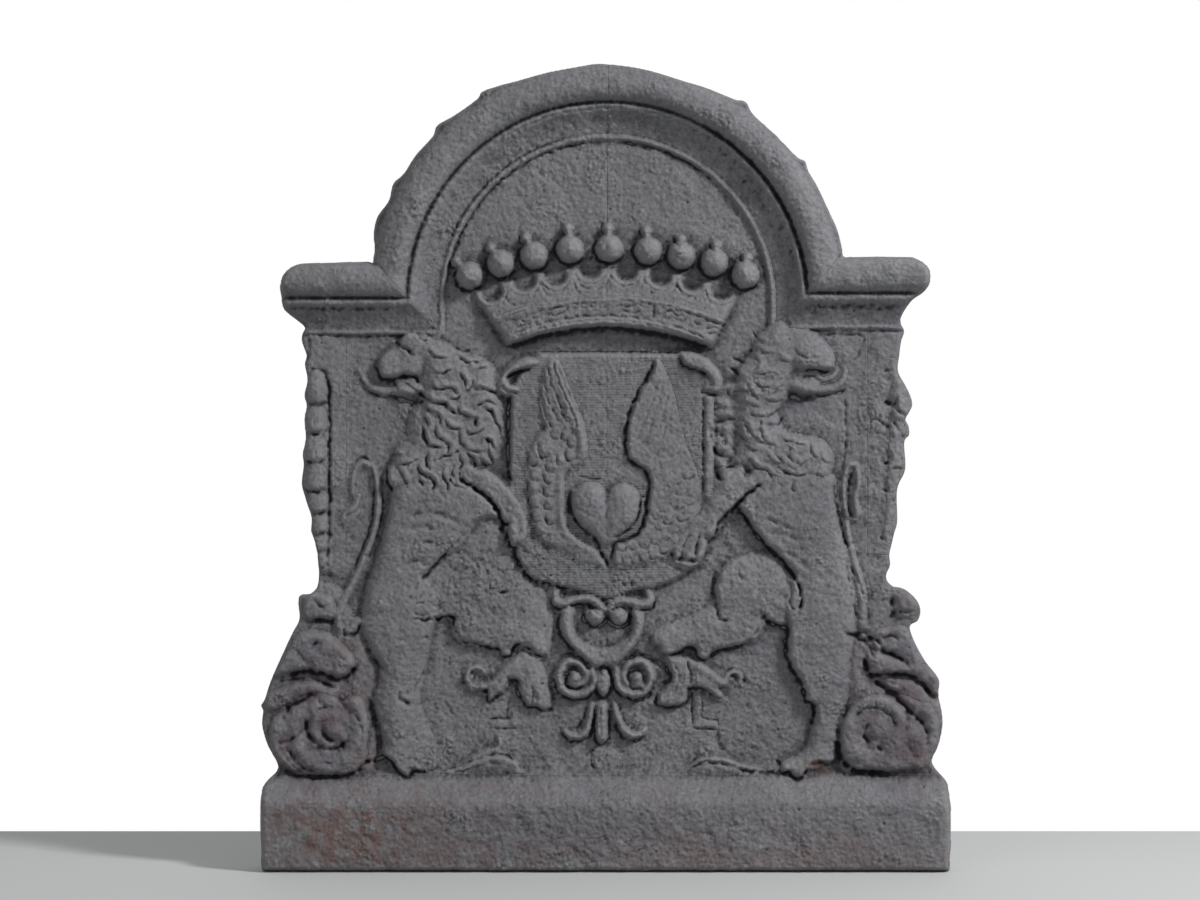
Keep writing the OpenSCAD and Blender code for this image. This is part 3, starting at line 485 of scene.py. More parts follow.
slab("console_leaf_right", [268, 188, 5, 278, 182, 4, 288, 175, 4, 298, 170, 4, 305, 160, 5, 315, 150, 5,
    322, 142, 6, 336, 140, 8, 336, 166, 8, 324, 176, 6, 312, 188, 6, 296, 191, 5, 280, 191, 5], 12,
    power=0.6, edge=6)
each(crease, [
    (2.5, 6, 258.5, 210, 260.5, 200, 264, 192.5, 271.5, 186, 280, 180.5, 288, 176),
    (1.9, 4.6, 263, 194, 275.7, 193, 287, 194.2, 297, 194.5, 307, 191, 315.6, 185, 324, 174.5),
    (1.9, 4.5, 242, 231.5, 250.5, 229.5, 258, 228, 262, 221, 266, 213),
    (2, 4.6, 262, 232, 271.5, 227, 277, 219, 286, 213.5, 296.7, 208, 301, 203),
    (1.6, 3, 275.7, 231, 284, 233, 291, 229),
    (3.2, 4, 287, 270, 286.5, 258, 286.5, 248),
    (1.9, 3.4, 292, 255.5, 298, 257, 305, 256.5),
    (1.6, 2.2, 276, 186, 284, 186, 292, 184)])

# ------------------------ coronet
pearls = [(-136, 592), (-105, 604), (-72, 612), (-36, 618), (3, 619), (42, 617), (75, 612), (108, 605),
    (139, 593)]
beads = [(-150, 606), (-115, 619), (-80, 629), (-38, 639), (2, 639), (40, 636), (75, 627), (110, 622),
    (141, 609)]
pockets = [(-115, 577), (-82, 588), (-51, 593), (-16, 600), (20, 598), (54, 593), (86, 588), (115, 579)]
reach = np.hypot(X, Z - CORONET_Z)
flank = inside([(-96, 515), (-102, 528), (-113, 543), (-124, 560), (-136, 577), (-150, 600), (150, 600),
                (132, 571), (120, 548), (111, 530), (102, 515)], X, Z)
band = (reach > RIM_IN) & (reach < CUPS_IN) & (flank > 0)
bulge = 14 + 3.5 * np.clip(flank / 26, 0, 1)
side_round = quarter(flank / 7)
shape = bulge * (0.35 + 0.65 * side_round) * (0.55 + 0.45 * quarter((reach - RIM_IN) / 4))
shape -= 2.2 * smooth_step(reach, 285, 287) * (1 - smooth_step(reach, 300.5, 302.5))     # sunk panel
relief["coronet_band"][band] = shape[band]
cups = (reach >= CUPS_IN) & (reach < CUPS_OUT) & (flank > 0)
relief["coronet_cups"][cups] = (13.5 * (0.4 + 0.6 * side_round) - 0.2 * (reach - CUPS_IN))[cups]
for x, z in pockets:                                # open towards the pearls, with a raised lip
    out = np.array([x, z - CORONET_Z]) / math.hypot(x, z - CORONET_Z)
    along = (X - x) * out[0] + (Z - z) * out[1]
    across = np.abs((X - x) * out[1] - (Z - z) * out[0])
    r = np.where(along > 0, across, np.hypot(along, across))
    dip = 14.8 - 13.5 * (1 - smooth_step(r, 10.4, 12.8)) - 2.2 * smooth_step(r, 14.6, 16.6)
    near = (r < 17.5) & (relief["coronet_cups"] > 0) & (along < 30)
    relief["coronet_cups"][near] = np.minimum(relief["coronet_cups"][near], dip[near])
    lean = math.atan2(out[1], out[0])
    cut(ring(x, z, 16.6, lean + np.arange(1.9, 4.5, 0.3)), 0.9, 1.5)
for (x, z), (bx, bz) in zip(pearls, beads):
    dome("pearls_large", x, z, 14.6, 21, roundness=0.5)
    dome("pearls_small", bx, bz, 6.2, 10.5, roundness=0.6)
    limb("pearls_large", [[x, z, 6, 15], [bx, bz, 4.5, 9]])
    cut(ring(x, z, 15.2, np.radians(range(150, 331, 20))), 1.5, 4.5, ends=10)
    cut(ring(bx, bz, 6.6, np.radians(range(140, 261, 30))), 1.1, 2.4, ends=4)

# The pearls are dented and worn
relief["pearls_large"] += 0.75 * grain(3.6, 51) * smooth_step(relief["pearls_large"], 8, 16)
for line in ([-64, 586, -59, 578, -51, 574], [-66, 584, -61, 575, -56, 571], [-30, 589, -22, 580, -15, 577],
        [-34, 588, -30, 578, -26, 574], [-8, 578, -2, 581, 2, 588], [-100, 572, -96, 564, -90, 562],
        [37, 588, 42, 578, 49, 574], [34, 578, 38, 587, 39, 592], [70, 584, 75, 573, 82, 569], [66, 574,
        70, 583, 71, 588], [100, 574, 104, 566, 110, 562], [-132, 574, -124, 570, -117, 565]):
    cut(line, 1, 1.8, ends=3)
each(cut, [
    (1.2, 2, -97, 551, -80, 557, -61, 562.5, -40, 566, -17, 568.5, 0, 569, 24, 567, 46, 563.5),
    (1.2, 2, 50, 563, 62, 561, 78, 556, 92, 551, 106, 546, 118, 541),
    (0.9, 1.2, -102, 545, -84, 549, -65, 556, -45, 560),
    (1.3, 2.2, -92, 533, -66, 543, -39, 549, -15, 551, 0, 551.5, 30, 549, 60, 543, 84, 535, 98, 529),
    (0.9, 1.2, -94, 528.5, -66, 538, -39, 544, -15, 546.5, 0, 547, 30, 545, 60, 538.5, 84, 530.5,
     98, 524.5),
    (1.4, 2.4, 47, 563, 47.5, 557, 47, 550)])
for k in range(3):
    cut([(100 - 1.5 * k, 533 + 6 * k), (110, 535.5 + 6 * k - 2), (119, 533 + 6 * k - 3)], 1, 1.8)
cut([-62, 553, -50, 560, -38, 560, -46, 553, -62, 553], 1, 2)
limb("coronet_band", [-57, 554.5, 2, 1.2, -50, 556, 4, 2.4, -42, 558, 2, 1.2], base=14)
for x in (-31, -22, -13, -4):
    cut(ring(x, 561.5, 3.4, np.arange(0, 6.9, 0.9), rise=2.8), 0.8, 1.5)
cut([-92, 543, -86, 547, -80, 545, -74, 549, -68, 549], 1.1, 1.9)
cut([-90, 540, -84, 541, -78, 543, -72, 545], 0.9, 1.4)
for line in ([8, 559, 14, 562, 22, 560, 30, 562, 38, 559], [10, 555, 18, 557, 26, 555, 36, 555], [56, 553,
        63, 556, 70, 552, 78, 553], [58, 548, 66, 550, 74, 546, 82, 547], [86, 546, 92, 543, 98, 543]):
    cut(line, 1, 1.7)
cut([-97, 521, -60, 532, -30, 538, 0, 540, 30, 538, 62, 532, 102, 520], 2.6, 4, ends=6)

# ------------------------ shield
shield = [(-95, 470), (-92, 486), (-84, 498), (-74, 508), (-68, 515.5), (0, 515.5), (78, 514.5), (84, 506),
    (96, 496), (107, 484), (108, 440), (108, 390), (106, 350), (101, 322), (91, 305), (77, 293), (60, 285),
    (47, 280), (30, 278), (20, 275), (8, 270), (0, 268.5), (-10, 272), (-27, 278), (-45, 280), (-58, 283),
    (-72, 286), (-79, 292), (-84, 300), (-90, 312), (-97, 328), (-101, 350), (-97, 390)]
slab("shield_field", shield, 8, edge=2.4, smooth=False)
rail = (Z > 370) & (Z < 500) & (X > 97) & (relief["shield_field"] > LOW)
relief["shield_field"][rail] += 3.0 * smooth_step(X[rail], 97.5, 99.5)
slab("shield_ear_left", [-66, 508, 5, -80, 511.5, 6, -93, 505, 6, -104, 494, 6, -110, 484, 5, -106, 474, 4,
    -98, 471, 4, -88, 474, 3, -84, 480, 4, -96, 484, 3, -99, 489, 2.5, -93, 494.5, 2.5, -84, 497, 3,
    -74, 500, 3, -67, 503, 3], 14, edge=5)
slab("shield_ear_right", [72, 516, 5, 84, 517, 6, 98, 512, 6, 109, 503, 6, 116, 492, 5, 116, 480, 5,
    108, 473, 3, 101, 475, 3, 104, 484, 4, 98, 494, 3, 89, 498, 3, 79, 501, 3, 74, 507, 3], 14, edge=6)
each(cut, [
    (1.8, 4.5, -99, 489.5, -93, 495, -84, 497, -74, 500),
    (1.8, 3.5, -104, 482, -100, 477, -88, 474),
    (2, 4, 73, 510, 77, 502, 89, 498, 99, 494),
    (2.2, 5, 94, 477, 101, 474, 110, 472),
    (1.8, 5.5, -97, 469, -97.4, 440, -97.4, 400, -95, 388),
    (1.5, 2.6, 97, 470, 97, 430, 97, 376),
    (1.2, 1.6, 109.5, 468, 109.5, 440, 109, 400),
    (1.1, 1.6, -66, 515.5, 0, 516, 74, 515),
    (1.6, 2.4, 16, 284, 21, 282, 25, 286, 25, 281)])

# Heart, in the sunk ground between the wings
limb("heart", [-16, 367, 19.5, 13, -13, 355, 20, 13, -6, 342, 14, 11, 0.5, 327, 5, 7], base=7,
    roundness=0.5, blend=1)
limb("heart", [17, 368, 17.5, 13, 13, 355, 18.5, 13, 6, 342, 12.5, 11, 0.5, 327, 5, 7], base=7,
    roundness=0.5, blend=1)
each(cut, [
    (2.2, 4.2, -36, 372, -36.5, 362, -33, 353, -27, 344, -19, 337, -12.7, 331.5, -8.5, 325, -5, 317,
     -2, 309, 2, 303),
    (1.3, 2.6, 34, 369, 32.5, 356, 27, 344.5, 17, 335, 7, 331),
    (1, 1.6, -27, 392, -16, 390, -4, 389)])

# Wings: a raised pinion edge inside, long feathers above, scales below
slab("wing_left", [-53, 510, 3, -59, 504, 3, -64, 485, 3, -66, 468, 3, -64, 450, 3, -60, 440, 4,
    -67, 434, 4, -76, 420, 5, -79, 405, 5, -79, 385, 5, -76, 362, 6, -73, 344, 7, -66, 330, 14,
    -52, 318, 18, -34, 309, 18, -16, 303, 14, 0, 302, 3, -6, 311, 2.5, -12.5, 320, 2.5, -22, 325, 2.5,
    -31, 330, 2.5, -39, 338, 2.5, -42.5, 350, 2.5, -41.5, 372, 2.5, -41, 392, 2.5, -36, 399.5, 2.5,
    -28, 402.5, 2.5, -21, 408, 2.5, -18, 418, 2.5, -19, 430, 2.5, -23, 448, 2.5, -29, 463, 2.5,
    -38, 484, 2.5, -46.5, 507, 3], 4.2, base=WING_BASE)
limb("wing_left", [-46, 396, 3, 1.5, -45.5, 372, 3.4, 2.6, -45.5, 352, 3.4, 2.6, -41, 337, 3.2, 2.4,
    -31, 327, 3, 2.2, -18, 319, 2.6, 1.6], base=WING_BASE + 3.4, blend=0.5)
for pts in ([-50, 506, 2.2, 1.5, -45, 488, 3, 2.4, -38, 468, 3.4, 3, -31, 450, 3.6, 3.4, -26, 436, 4.2, 4.2,
        -23.5, 424, 4.4, 4.4, -25, 413, 4, 3.4], [-50, 500, 1.6, 1.2, -47, 482, 2.6, 2, -41, 464, 3, 2.4,
        -35, 448, 3, 2.4], [-55, 500, 2, 1.4, -53, 482, 3, 2.2, -49, 466, 3.2, 2.4, -44, 452, 3, 2],
        [-59, 496, 2, 1.2, -59, 476, 3, 2, -56, 458, 3.4, 2.4, -52, 446, 3, 2], [-63, 480, 1.6, 1,
        -62.5, 460, 2.4, 1.8, -59, 446, 3, 2]):
    limb("wing_left", pts, base=WING_BASE + 3.4, blend=0.3, roundness=0.6)
for line in ([-57.5, 502, -55, 486, -50, 473, -45, 461, -43, 452, -39, 446], [-53, 505, -48, 489, -42, 474,
        -35, 460, -30.5, 449, -28, 438], [-62, 489, -59.7, 474, -54.4, 460, -48, 447], [-64.4, 474,
        -62, 458, -57.5, 446, -53, 439], [-48, 503, -44, 491, -37, 474, -32, 463]):
    cut(line, 1, 2.4, ends=5)
for x, z, w, up in ((-60, 424, 8.5, 16), (-72, 411, 5.5, 10), (-50, 436, 5.5, 7), (-40, 434, 5, 7),
        (-45, 411, 4.5, 11), (-36, 415, 4.5, 10), (-54, 404, 6, 8), (-71, 396, 6, 8), (-57, 392, 5.5, 7),
        (-72, 382, 6, 8), (-57, 379, 5.5, 7), (-71, 369, 6, 8), (-56, 366, 5.5, 7), (-68, 355, 6, 8),
        (-65, 342, 6.5, 8), (-55, 351, 5, 7), (-34, 428, 5, 8)):
    limb("wing_left", [[x + 3, z + up * 0.5, w * 0.7, 1.6], [x + 1, z, w, 3], [x, z - up * 0.35, w * 0.95,
        3.4]], base=WING_BASE + 3, roundness=0.6)
    cut([(x - w * 0.9, z + 2), (x - w, z - up * 0.35 - 1), (x - w * 0.4, z - up * 0.35 - w * 0.95),
        (x + w * 0.5, z - up * 0.35 - w * 0.85)], 1, 2, ends=4)
slab("wing_right", [51, 509, 2.5, 45, 495, 2, 36, 481, 2, 28, 465, 2, 22.5, 449, 2, 20.3, 433, 2,
    20.5, 419, 2, 24, 408, 2, 33, 402, 2, 39, 398, 2, 43, 391, 2, 44, 381, 2, 42, 366, 2, 40, 351, 2,
    36, 340, 2, 29, 332, 2, 19, 327, 2, 10, 324, 2, 6.5, 314, 2, 6, 304, 3, 16, 300, 4, 30, 302, 5,
    48, 306, 6, 66, 315, 10, 84, 326, 30, 92, 342, 30, 95, 362, 34, 94, 384, 34, 88, 404, 34, 80, 424, 34,
    74, 446, 30, 70, 466, 26, 65, 484, 20, 58, 500, 8], 6, base=WING_BASE, power=0.6)
cut([48, 505, 43, 493, 35, 480, 27.5, 464, 22, 449, 19.8, 433, 19.8, 421, 22, 411, 27, 405, 34, 402,
    39, 398, 42.5, 391, 43.2, 382, 41.4, 367, 39.7, 352, 35.5, 340, 29, 332.5, 20, 328, 12, 326, 7.5, 321,
    6, 313, 7, 306], 2.1, 4.6, ends=10)
for line in ([58, 492, 53, 468, 45, 445, 37, 426], [62, 482, 58, 456, 50, 432], [52, 490, 46, 466, 37, 444,
        31, 430], [45, 441, 41, 430, 36, 424], [66, 470, 63, 450, 56, 430]):
    cut(line, 1.4, 1.1, ends=8)
for x, z in ((12, 307), (21, 307), (29, 309), (38, 311), (47, 314), (57, 319)):
    limb("wing_right", [[x + 3, z + 8, 3, 1.5], [x + 1, z + 3, 5, 2.8], [x, z, 4.6, 3.2]],
        base=WING_BASE + 3.2, roundness=0.6)
    cut([(x - 5, z + 3), (x - 4, z - 3), (x + 1, z - 5), (x + 4, z - 2)], 1, 2.2, ends=3)
for x, z in ((16, 320), (27, 320), (38, 322), (49, 326), (60, 331)):
    cut([(x - 5, z + 3), (x - 3, z - 2), (x + 2, z - 2), (x + 5, z + 3)], 1, 1.6, ends=3)
for x, z in ((56, 372), (74, 376), (56, 359), (71, 361), (76, 350), (62, 347), (53, 341), (66, 338),
        (82, 366), (50, 352), (68, 386), (80, 392)):
    cut([(x - 6, z + 2), (x - 3, z - 2.5), (x + 3, z - 3), (x + 7, z + 1)], 1.1, 1.5, ends=4)

# ------------------------ lions
def tresses(name, strokes, lift=3.6, r=3.6, width=1.25, depth=3.4):
    """Locks of hair: each stroke is a lock's shaded lower edge; the lock itself swells beside it. A
    stroke may come in brackets after a number, by which it is deeper."""
    add = np.zeros(X.shape)
    for stroke in strokes:
        deep = depth
        if isinstance(stroke, tuple):
            deep, stroke = depth * stroke[0], stroke[1]
        cut(stroke, width * (1.25 if deep > depth else 1), deep)
        q = curve(stroke, 2.0)
        d = np.gradient(q, axis=0)
        d /= np.maximum(np.hypot(d[:, 0], d[:, 1]), 1e-6)[:, None]
        normal = np.stack([-d[:, 1], d[:, 0]], 1)
        if (normal @ [0.55, 0.83]).sum() < 0:
            normal = -normal
        q = q + normal * r * 0.85
        cut(q[1:-1:2] if len(q) > 5 else q[[0, -1]], 0.6, depth * 0.28)
        t = np.linspace(0, 1, len(q))
        swell = np.sqrt(np.maximum(np.sin(math.pi * (0.12 + 0.76 * t)), 0))
        for (x, z), k in zip(q, swell):
            w = window(x - r, x + r, z - r, z + r)
            away = np.hypot(X[w] - x, Z[w] - z) / (r * (0.55 + 0.45 * k))
            v = lift * k * np.sqrt(np.maximum(1 - away ** 2, 0))
            add[w] = np.maximum(add[w], v)
    relief[name] = np.where(relief[name] > LOW / 2, relief[name] + add, relief[name])


# Left lion
slab("lion_body_left", [-214, 380, 0, -217, 362, 0, -221, 345, 0, -226, 325, 0, -232, 305, 0, -239, 285, 0,
    -244, 262, 0, -246, 243, 0, -242, 228, 0, -235, 214, 0, -229, 203, 0, -228, 190, 0, -234, 172, 0,
    -232, 155, 0, -227, 140, 0, -224, 125, 0, -224, 115, 8, -214, 107, 5, -206, 95, 4, -198, 92, 4,
    -193, 98, 5, -186, 97, 5, -178, 97, 6, -167, 102, 24, -168, 122, 36, -178, 146, 30, -185, 170, 24,
    -180, 196, 24, -175, 224, 28, -170, 246, 30, -178, 262, 30, -184, 280, 16, -184, 289, 8, -174, 299, 8,
    -157, 318, 8, -145, 330, 8, -134, 341, 8, -120, 349, 8, -104, 350, 8, -108, 364, 10, -122, 377, 10,
    -145, 392, 0, -170, 398, 0, -200, 394, 0], 13, edge=18, power=0.55)
limb("lion_body_left", [-202, 262, 34, 3, -207, 228, 24, 3], base=11, roundness=1, blend=4)
shank = smooth_step(X, -212, -172) * smooth_step(-Z, -236, -190)       # the worn inner side of the leg
relief["lion_body_left"] *= np.where(relief["lion_body_left"] > 0, 1 - 0.62 * shank, 1)
limb("lion_body_left", [-160, 372, 40, 3.5, -172, 350, 38, 3], base=10.5, roundness=1, blend=4)
slab("lion_body_left", [-190, 287, 10, -170, 305, 8, -152, 326, 10, -136, 346, 20, -116, 360, 30,
    -99, 344, 22, -92, 318, 40, -84, 298, 40, -70, 287, 40, -56, 270, 40, -52, 245, 30, -54, 226, 14,
    -57, 213, 5, -64, 210.5, 4, -70, 214, 4, -76, 221, 4, -82, 223, 4, -88, 228, 4, -92, 222, 4,
    -95, 211, 4, -104, 213, 5, -110, 221, 5, -121, 221, 6, -130, 224, 6, -140, 227, 6, -147, 231, 5,
    -150, 240, 5, -151, 250, 5, -160, 251, 6, -170, 248, 7, -182, 256, 10, -192, 268, 14], 7.5, edge=10,
    power=0.6, blend=1)
limb("lion_body_left", [-140, 240, 14, 2.5, -115, 236, 15, 3, -85, 236, 12, 3.5, -66, 222, 9, 3.5],
    base=6.5, roundness=0.8, blend=2)
limb("lion_body_left", [-160, 276, 22, 2.5, -135, 280, 20, 2], base=6, roundness=0.9, blend=2)
slab("lion_body_left", [-152, 398, 14, -132, 403, 18, -117, 396, 24, -102, 383, 26, -88, 367, 26,
    -77, 352, 18, -78, 340, 14, -86, 328, 8, -90, 319, 6, -96, 322, 5, -98, 333, 4, -97, 344, 4,
    -101, 344.5, 4, -106, 352, 5, -110, 362, 5, -122, 373, 5, -136, 383, 6, -147, 388, 0], 13, edge=11,
    power=0.6)
for ridge in ([-136, 397, 5, 2, -119, 387, 6, 3.5, -105, 373, 5, 3, -95, 359, 4, 2], [-122, 396, 4, 1.5,
        -107, 383, 5, 2.5, -94, 367, 5, 2.5, -86, 352, 5, 2], [-128, 386, 4, 2, -114, 374, 5, 3,
        -104, 361, 4, 2.5], [-92, 352, 5, 3.5, -92, 340, 5.5, 4.5, -92, 328, 5, 4.5], [-84, 350, 4.5, 3,
        -83, 338, 5, 4, -85, 328, 4, 4]):
    limb("lion_body_left", ridge, base=11, roundness=0.7, blend=1)
for ribs in ([-202, 352, -182, 355, -160, 352, -143, 344], [-200, 338, -180, 342, -160, 336], [-200, 322,
        -184, 327, -166, 322], [-205, 303, -190, 307, -177, 303]):
    cut(ribs, 3, 1.9, ends=16)
slab("lion_mane_left", [-190, 532, 0, -177, 533, 0, -158, 526, 0, -138, 516, 0, -118, 508, 0, -107, 494, 0,
    -103, 474, 0, -102, 450, 0, -104, 425, 0, -110, 405, 0, -124, 401, 0, -138, 396, 0, -146, 387, 14,
    -158, 379, 10, -172, 379, 10, -186, 382, 12, -196, 378, 12, -210, 377, 10, -218.5, 386, 8,
    -218.5, 400, 12, -213, 412, 26, -208, 425, 38, -203, 440, 40, -196, 456, 34, -188, 470, 0, -188, 484, 0,
    -190, 500, 0, -196, 520, 0], 12.5, edge=22, power=0.75)
slab("lion_mane_left", [-182, 535, 34, -196, 533, 34, -209, 527, 30, -219, 519, 26, -226, 510, 19,
    -228.5, 501, 11, -227, 493, 6, -222, 489, 5, -212, 490, 5, -204, 492, 5, -196, 492, 5, -188, 491, 8,
    -176, 500, 20, -172, 522, 34], 13.5, power=0.75, blend=2)
dome("lion_mane_left", -213, 503, 14, 3, roundness=1, blend=2, base=10)
dome("lion_mane_left", -194, 523, 12, 1.6, roundness=1, blend=2, base=11)
slab("lion_mane_left", [(-184, 498), (-212, 496), (-212, 484), (-206, 473), (-190, 472), (-180, 484)], 5.5,
    edge=6)
limb("lion_mane_left", [-189, 480, 7, 9, -198, 478, 7.5, 10, -205, 479, 5.5, 8.5], roundness=0.7, blend=2)
limb("lion_mane_left", [-204, 477, 5, 6.5, -218, 476, 4.6, 5, -230, 478.5, 4.4, 4.5, -239, 485, 4.2, 4.2,
    -244, 492, 3.4, 3.6, -247, 498, 1.8, 2.4], roundness=0.4)
each(cut, [
    (1.9, 5, -208, 524, -203, 521, -198, 517, -192, 512),
    (2.4, 4.5, -229, 502, -227, 494, -222, 489, -215, 488),
    (1.7, 5.5, -214, 489, -208, 490, -202, 491.5, -195, 491.5, -189, 489, -187.5, 484),
    (1.1, 2.4, -211, 486, -209, 479),
    (2.8, 5, -212, 472, -206, 469, -198, 466, -188, 465, -180, 468),
    (1.4, 2.4, -248, 494, -245, 487.5, -240, 482),
    (1.5, 2.8, -242, 480, -234, 475, -226, 471.5, -212, 471),
    (1.2, 2.5, -200, 484, -193, 480, -189, 476)])
cut([-198, 437, -199, 431, -197, 426], 4.2, 3, ends=6)
cut([-145, 387.5, -137, 384, -125, 376, -112, 365, -107, 353, -102, 344, -98, 345.5], 2.1, 5.5)
cut([-135, 341, -145, 330, -157, 318, -174, 299, -186, 286, -192, 279], 1.1, 2.3, ends=26)
each(cut, [
    (1.4, 2.6, -110, 277, -103, 276, -97, 277),
    (1.4, 2.4, -119, 262, -113, 256),
    (1.5, 2.6, -192, 256, -184, 253, -178, 256)])
ragged([-190, 250, -180, 248, -170, 250, -160, 252, -153, 251, -150, 240, -144, 230, -131, 225, -119, 222,
    -110, 220, -104, 213, -97, 212, -92, 222, -84, 226, -75, 220, -64, 211], 1.5, 3.4, 5)
ragged([-103, 342, -99, 331, -94, 320, -89, 311, -84, 302, -79, 293, -71, 287, -60, 285, -50, 283,
    -36, 280], 2.2, 4.6, 6)
ragged([-143, 388, -132, 381, -120, 373, -111, 363, -106, 352, -103, 343], 1.6, 3, 7)
for crack in ([-112, 312, -104, 313, -95, 311], [-130, 305, -121, 299, -117, 294], [-109, 302, -103, 297,
        -94, 298, -88, 302], [-84, 318, -76, 316], [-112, 275, -98, 277], [-192, 262, -184, 266, -178, 262],
        [-176, 268, -168, 262, -160, 266], [-152, 300, -144, 296, -138, 300], [-186, 270, -180, 276]):
    ragged(crack, 1, 1.8, 8)
each(cut, [
    (1.2, 2.4, -184, 229, -179, 231, -176, 229),
    (1.3, 2.4, -192, 176, -188, 186, -183, 195, -181, 203),
    (2.4, 4, -206, 178, -204, 170, -199, 166, -195, 164),
    (1.2, 2, -199, 180, -198, 172)])
cut([-240, 226, -233, 213, -226, 203, -219, 195], 3.4, 2.4, ends=8)
cut([-236, 170, -234, 158, -229, 148], 2.6, 2.2, ends=8)
cut([-240, 107, -229, 108, -221, 112, -213, 106, -208, 98, -201, 92.5, -196, 92, -192, 97, -180, 96.5], 1.7,
    4)
tresses("lion_mane_left", [[-188, 534, -185, 528, -177, 525], [-177, 517, -170, 510, -160, 509.5],
    [-170, 495, -163, 493.5, -155, 498], [-148, 512, -140, 506, -130, 505, -123, 508], [-133, 496,
    -126, 499, -119, 500], [-146, 494, -141, 488, -139, 479], [-173, 483, -168, 478, -159, 479.5, -151, 478,
    -149, 472], [-156, 469, -149, 467.5, -145, 471], [-141, 475, -136, 478, -133, 487], (1.5, [-129, 480,
    -120, 478, -110, 475.5]), (1.4, [-187, 475, -178, 469, -169, 464.5, -160, 464, -156, 458, -149, 454]),
    [-182, 463, -175, 456, -167, 453, -165, 444], [-148, 460, -146, 456, -137, 451, -130, 449, -130, 441],
    [-136, 434, -129, 434, -122, 439], [-129, 461, -120, 466, -110, 463], (1.5, [-119, 459, -113, 455,
    -110, 445]), (1.5, [-182, 441, -181, 431, -176, 422, -166, 420.5]), [-170, 440, -168, 431, -161, 427,
    -156, 422, -158, 415], [-147, 436, -144, 426, -137, 418, -126, 415.5], [-140, 416, -135, 412, -131, 407,
    -132, 400], (1.4, [-121, 429, -115, 426, -112, 418]), [-117, 431, -117, 416, -112, 405], [-168, 407,
    -162, 411, -153, 413.5, -147, 418], [-146, 412, -143, 404, -147, 394, -143, 384], (1.4, [-188, 403,
    -185, 396, -177, 392, -171, 387, -173, 379]), [-177, 415, -179, 406, -176, 398], [-162, 401, -163, 393,
    -159, 385, -157, 378], [-155, 394, -155, 387, -148, 381.5, -139, 381], [-209, 401, -203, 393,
    -198, 384], [-207, 402, -197, 404, -188, 408], (1.3, [-218.5, 399, -217.5, 386, -213, 377]),
    [-212, 413.5, -204, 413], [-182, 452, -178, 445, -179, 438], [-160, 447, -155, 440, -147, 438],
    [-112, 446, -106, 440, -105, 430], [-126, 410, -120, 402], [-151, 402, -153, 396, -150, 390],
    [-182, 382, -186, 388], [-154, 523, -146, 518, -136, 517]])

# Right lion
slab("lion_body_right", [130, 363, 8, 140, 349, 8, 150, 334, 8, 165, 318, 8, 177, 306, 8, 187, 293, 9,
    192, 281, 0, 194, 265, 0, 190, 252, 0, 184, 240, 9, 180, 228, 7, 180, 213, 7, 185, 200, 7, 193, 187, 7,
    198, 175, 7, 199, 167, 7, 206, 164, 7, 207, 152, 8, 203, 138, 14, 200, 124, 16, 192, 115, 12,
    180, 110, 8, 172, 103, 5, 175, 95, 5, 183, 96, 5, 190, 88, 5, 199, 92, 5, 205, 100, 5, 213, 106, 6,
    226, 106, 8, 232, 114, 22, 236, 130, 26, 238, 150, 26, 244, 168, 26, 246, 190, 26, 246, 207, 0,
    249, 228, 0, 252, 245, 0, 251, 262, 0, 248, 283, 0, 243, 310, 0, 236, 338, 0, 231, 362, 0, 229, 392, 0,
    210, 400, 0, 180, 400, 0, 155, 392, 0, 138, 378, 0], 13, edge=18, power=0.55)
limb("lion_body_right", [214, 268, 34, 3, 212, 232, 28, 3], base=11, roundness=1, blend=4)
limb("lion_body_right", [180, 374, 42, 3.5, 190, 348, 38, 3], base=10.5, roundness=1, blend=4)
limb("lion_body_right", [216, 112, 10, 2.5, 204, 106, 9, 3, 190, 102, 9, 3, 180, 102, 6, 3], base=6,
    roundness=0.7, blend=2)
slab("lion_body_right", [194, 262, 0, 186, 248, 0, 178, 242, 6, 170, 243.5, 5, 160, 248, 5, 150, 252, 0,
    125, 250, 0, 116, 249, 6, 112, 256, 6, 109, 270, 6, 108, 284, 8, 115, 296, 20, 132, 310, 24,
    150, 318, 24, 172, 310, 0, 188, 290, 0], 9, edge=16, power=0.7)
limb("lion_body_right", [138, 285, 26, 2.5, 150, 272, 28, 2.5], base=7.5, roundness=1, blend=3)
slab("lion_body_right", [162, 250, 0, 156, 238, 6, 150, 229, 6, 143, 225, 6, 123, 220, 6, 108, 217, 5,
    102, 211, 4, 97, 207, 4, 92, 211, 4, 88, 220, 4, 83, 222, 4, 75, 218, 4, 69, 213.5, 4, 62, 212.5, 4,
    55, 213.5, 4, 53, 222, 4, 47, 223, 4, 45, 234, 8, 56, 243, 20, 80, 252, 26, 100, 262, 30, 115, 270, 30,
    140, 272, 30], 9.5, edge=8, power=0.6, blend=1.5)
slab("lion_body_right", [150, 394, 0, 140, 396, 0, 126, 402, 0, 114, 400, 0, 108, 388, 0, 98, 370, 0,
    86, 352, 0, 74, 338, 0, 65, 328, 0, 63, 315, 5, 66, 306, 4, 74, 301, 4, 84, 299, 4, 92, 303, 4,
    97, 314, 4, 99, 322, 4, 106, 330, 4, 110, 337, 4, 113, 345, 5, 119, 353, 5, 130, 363, 5, 140, 373, 5,
    153, 384, 6], 13, edge=12, power=0.6)
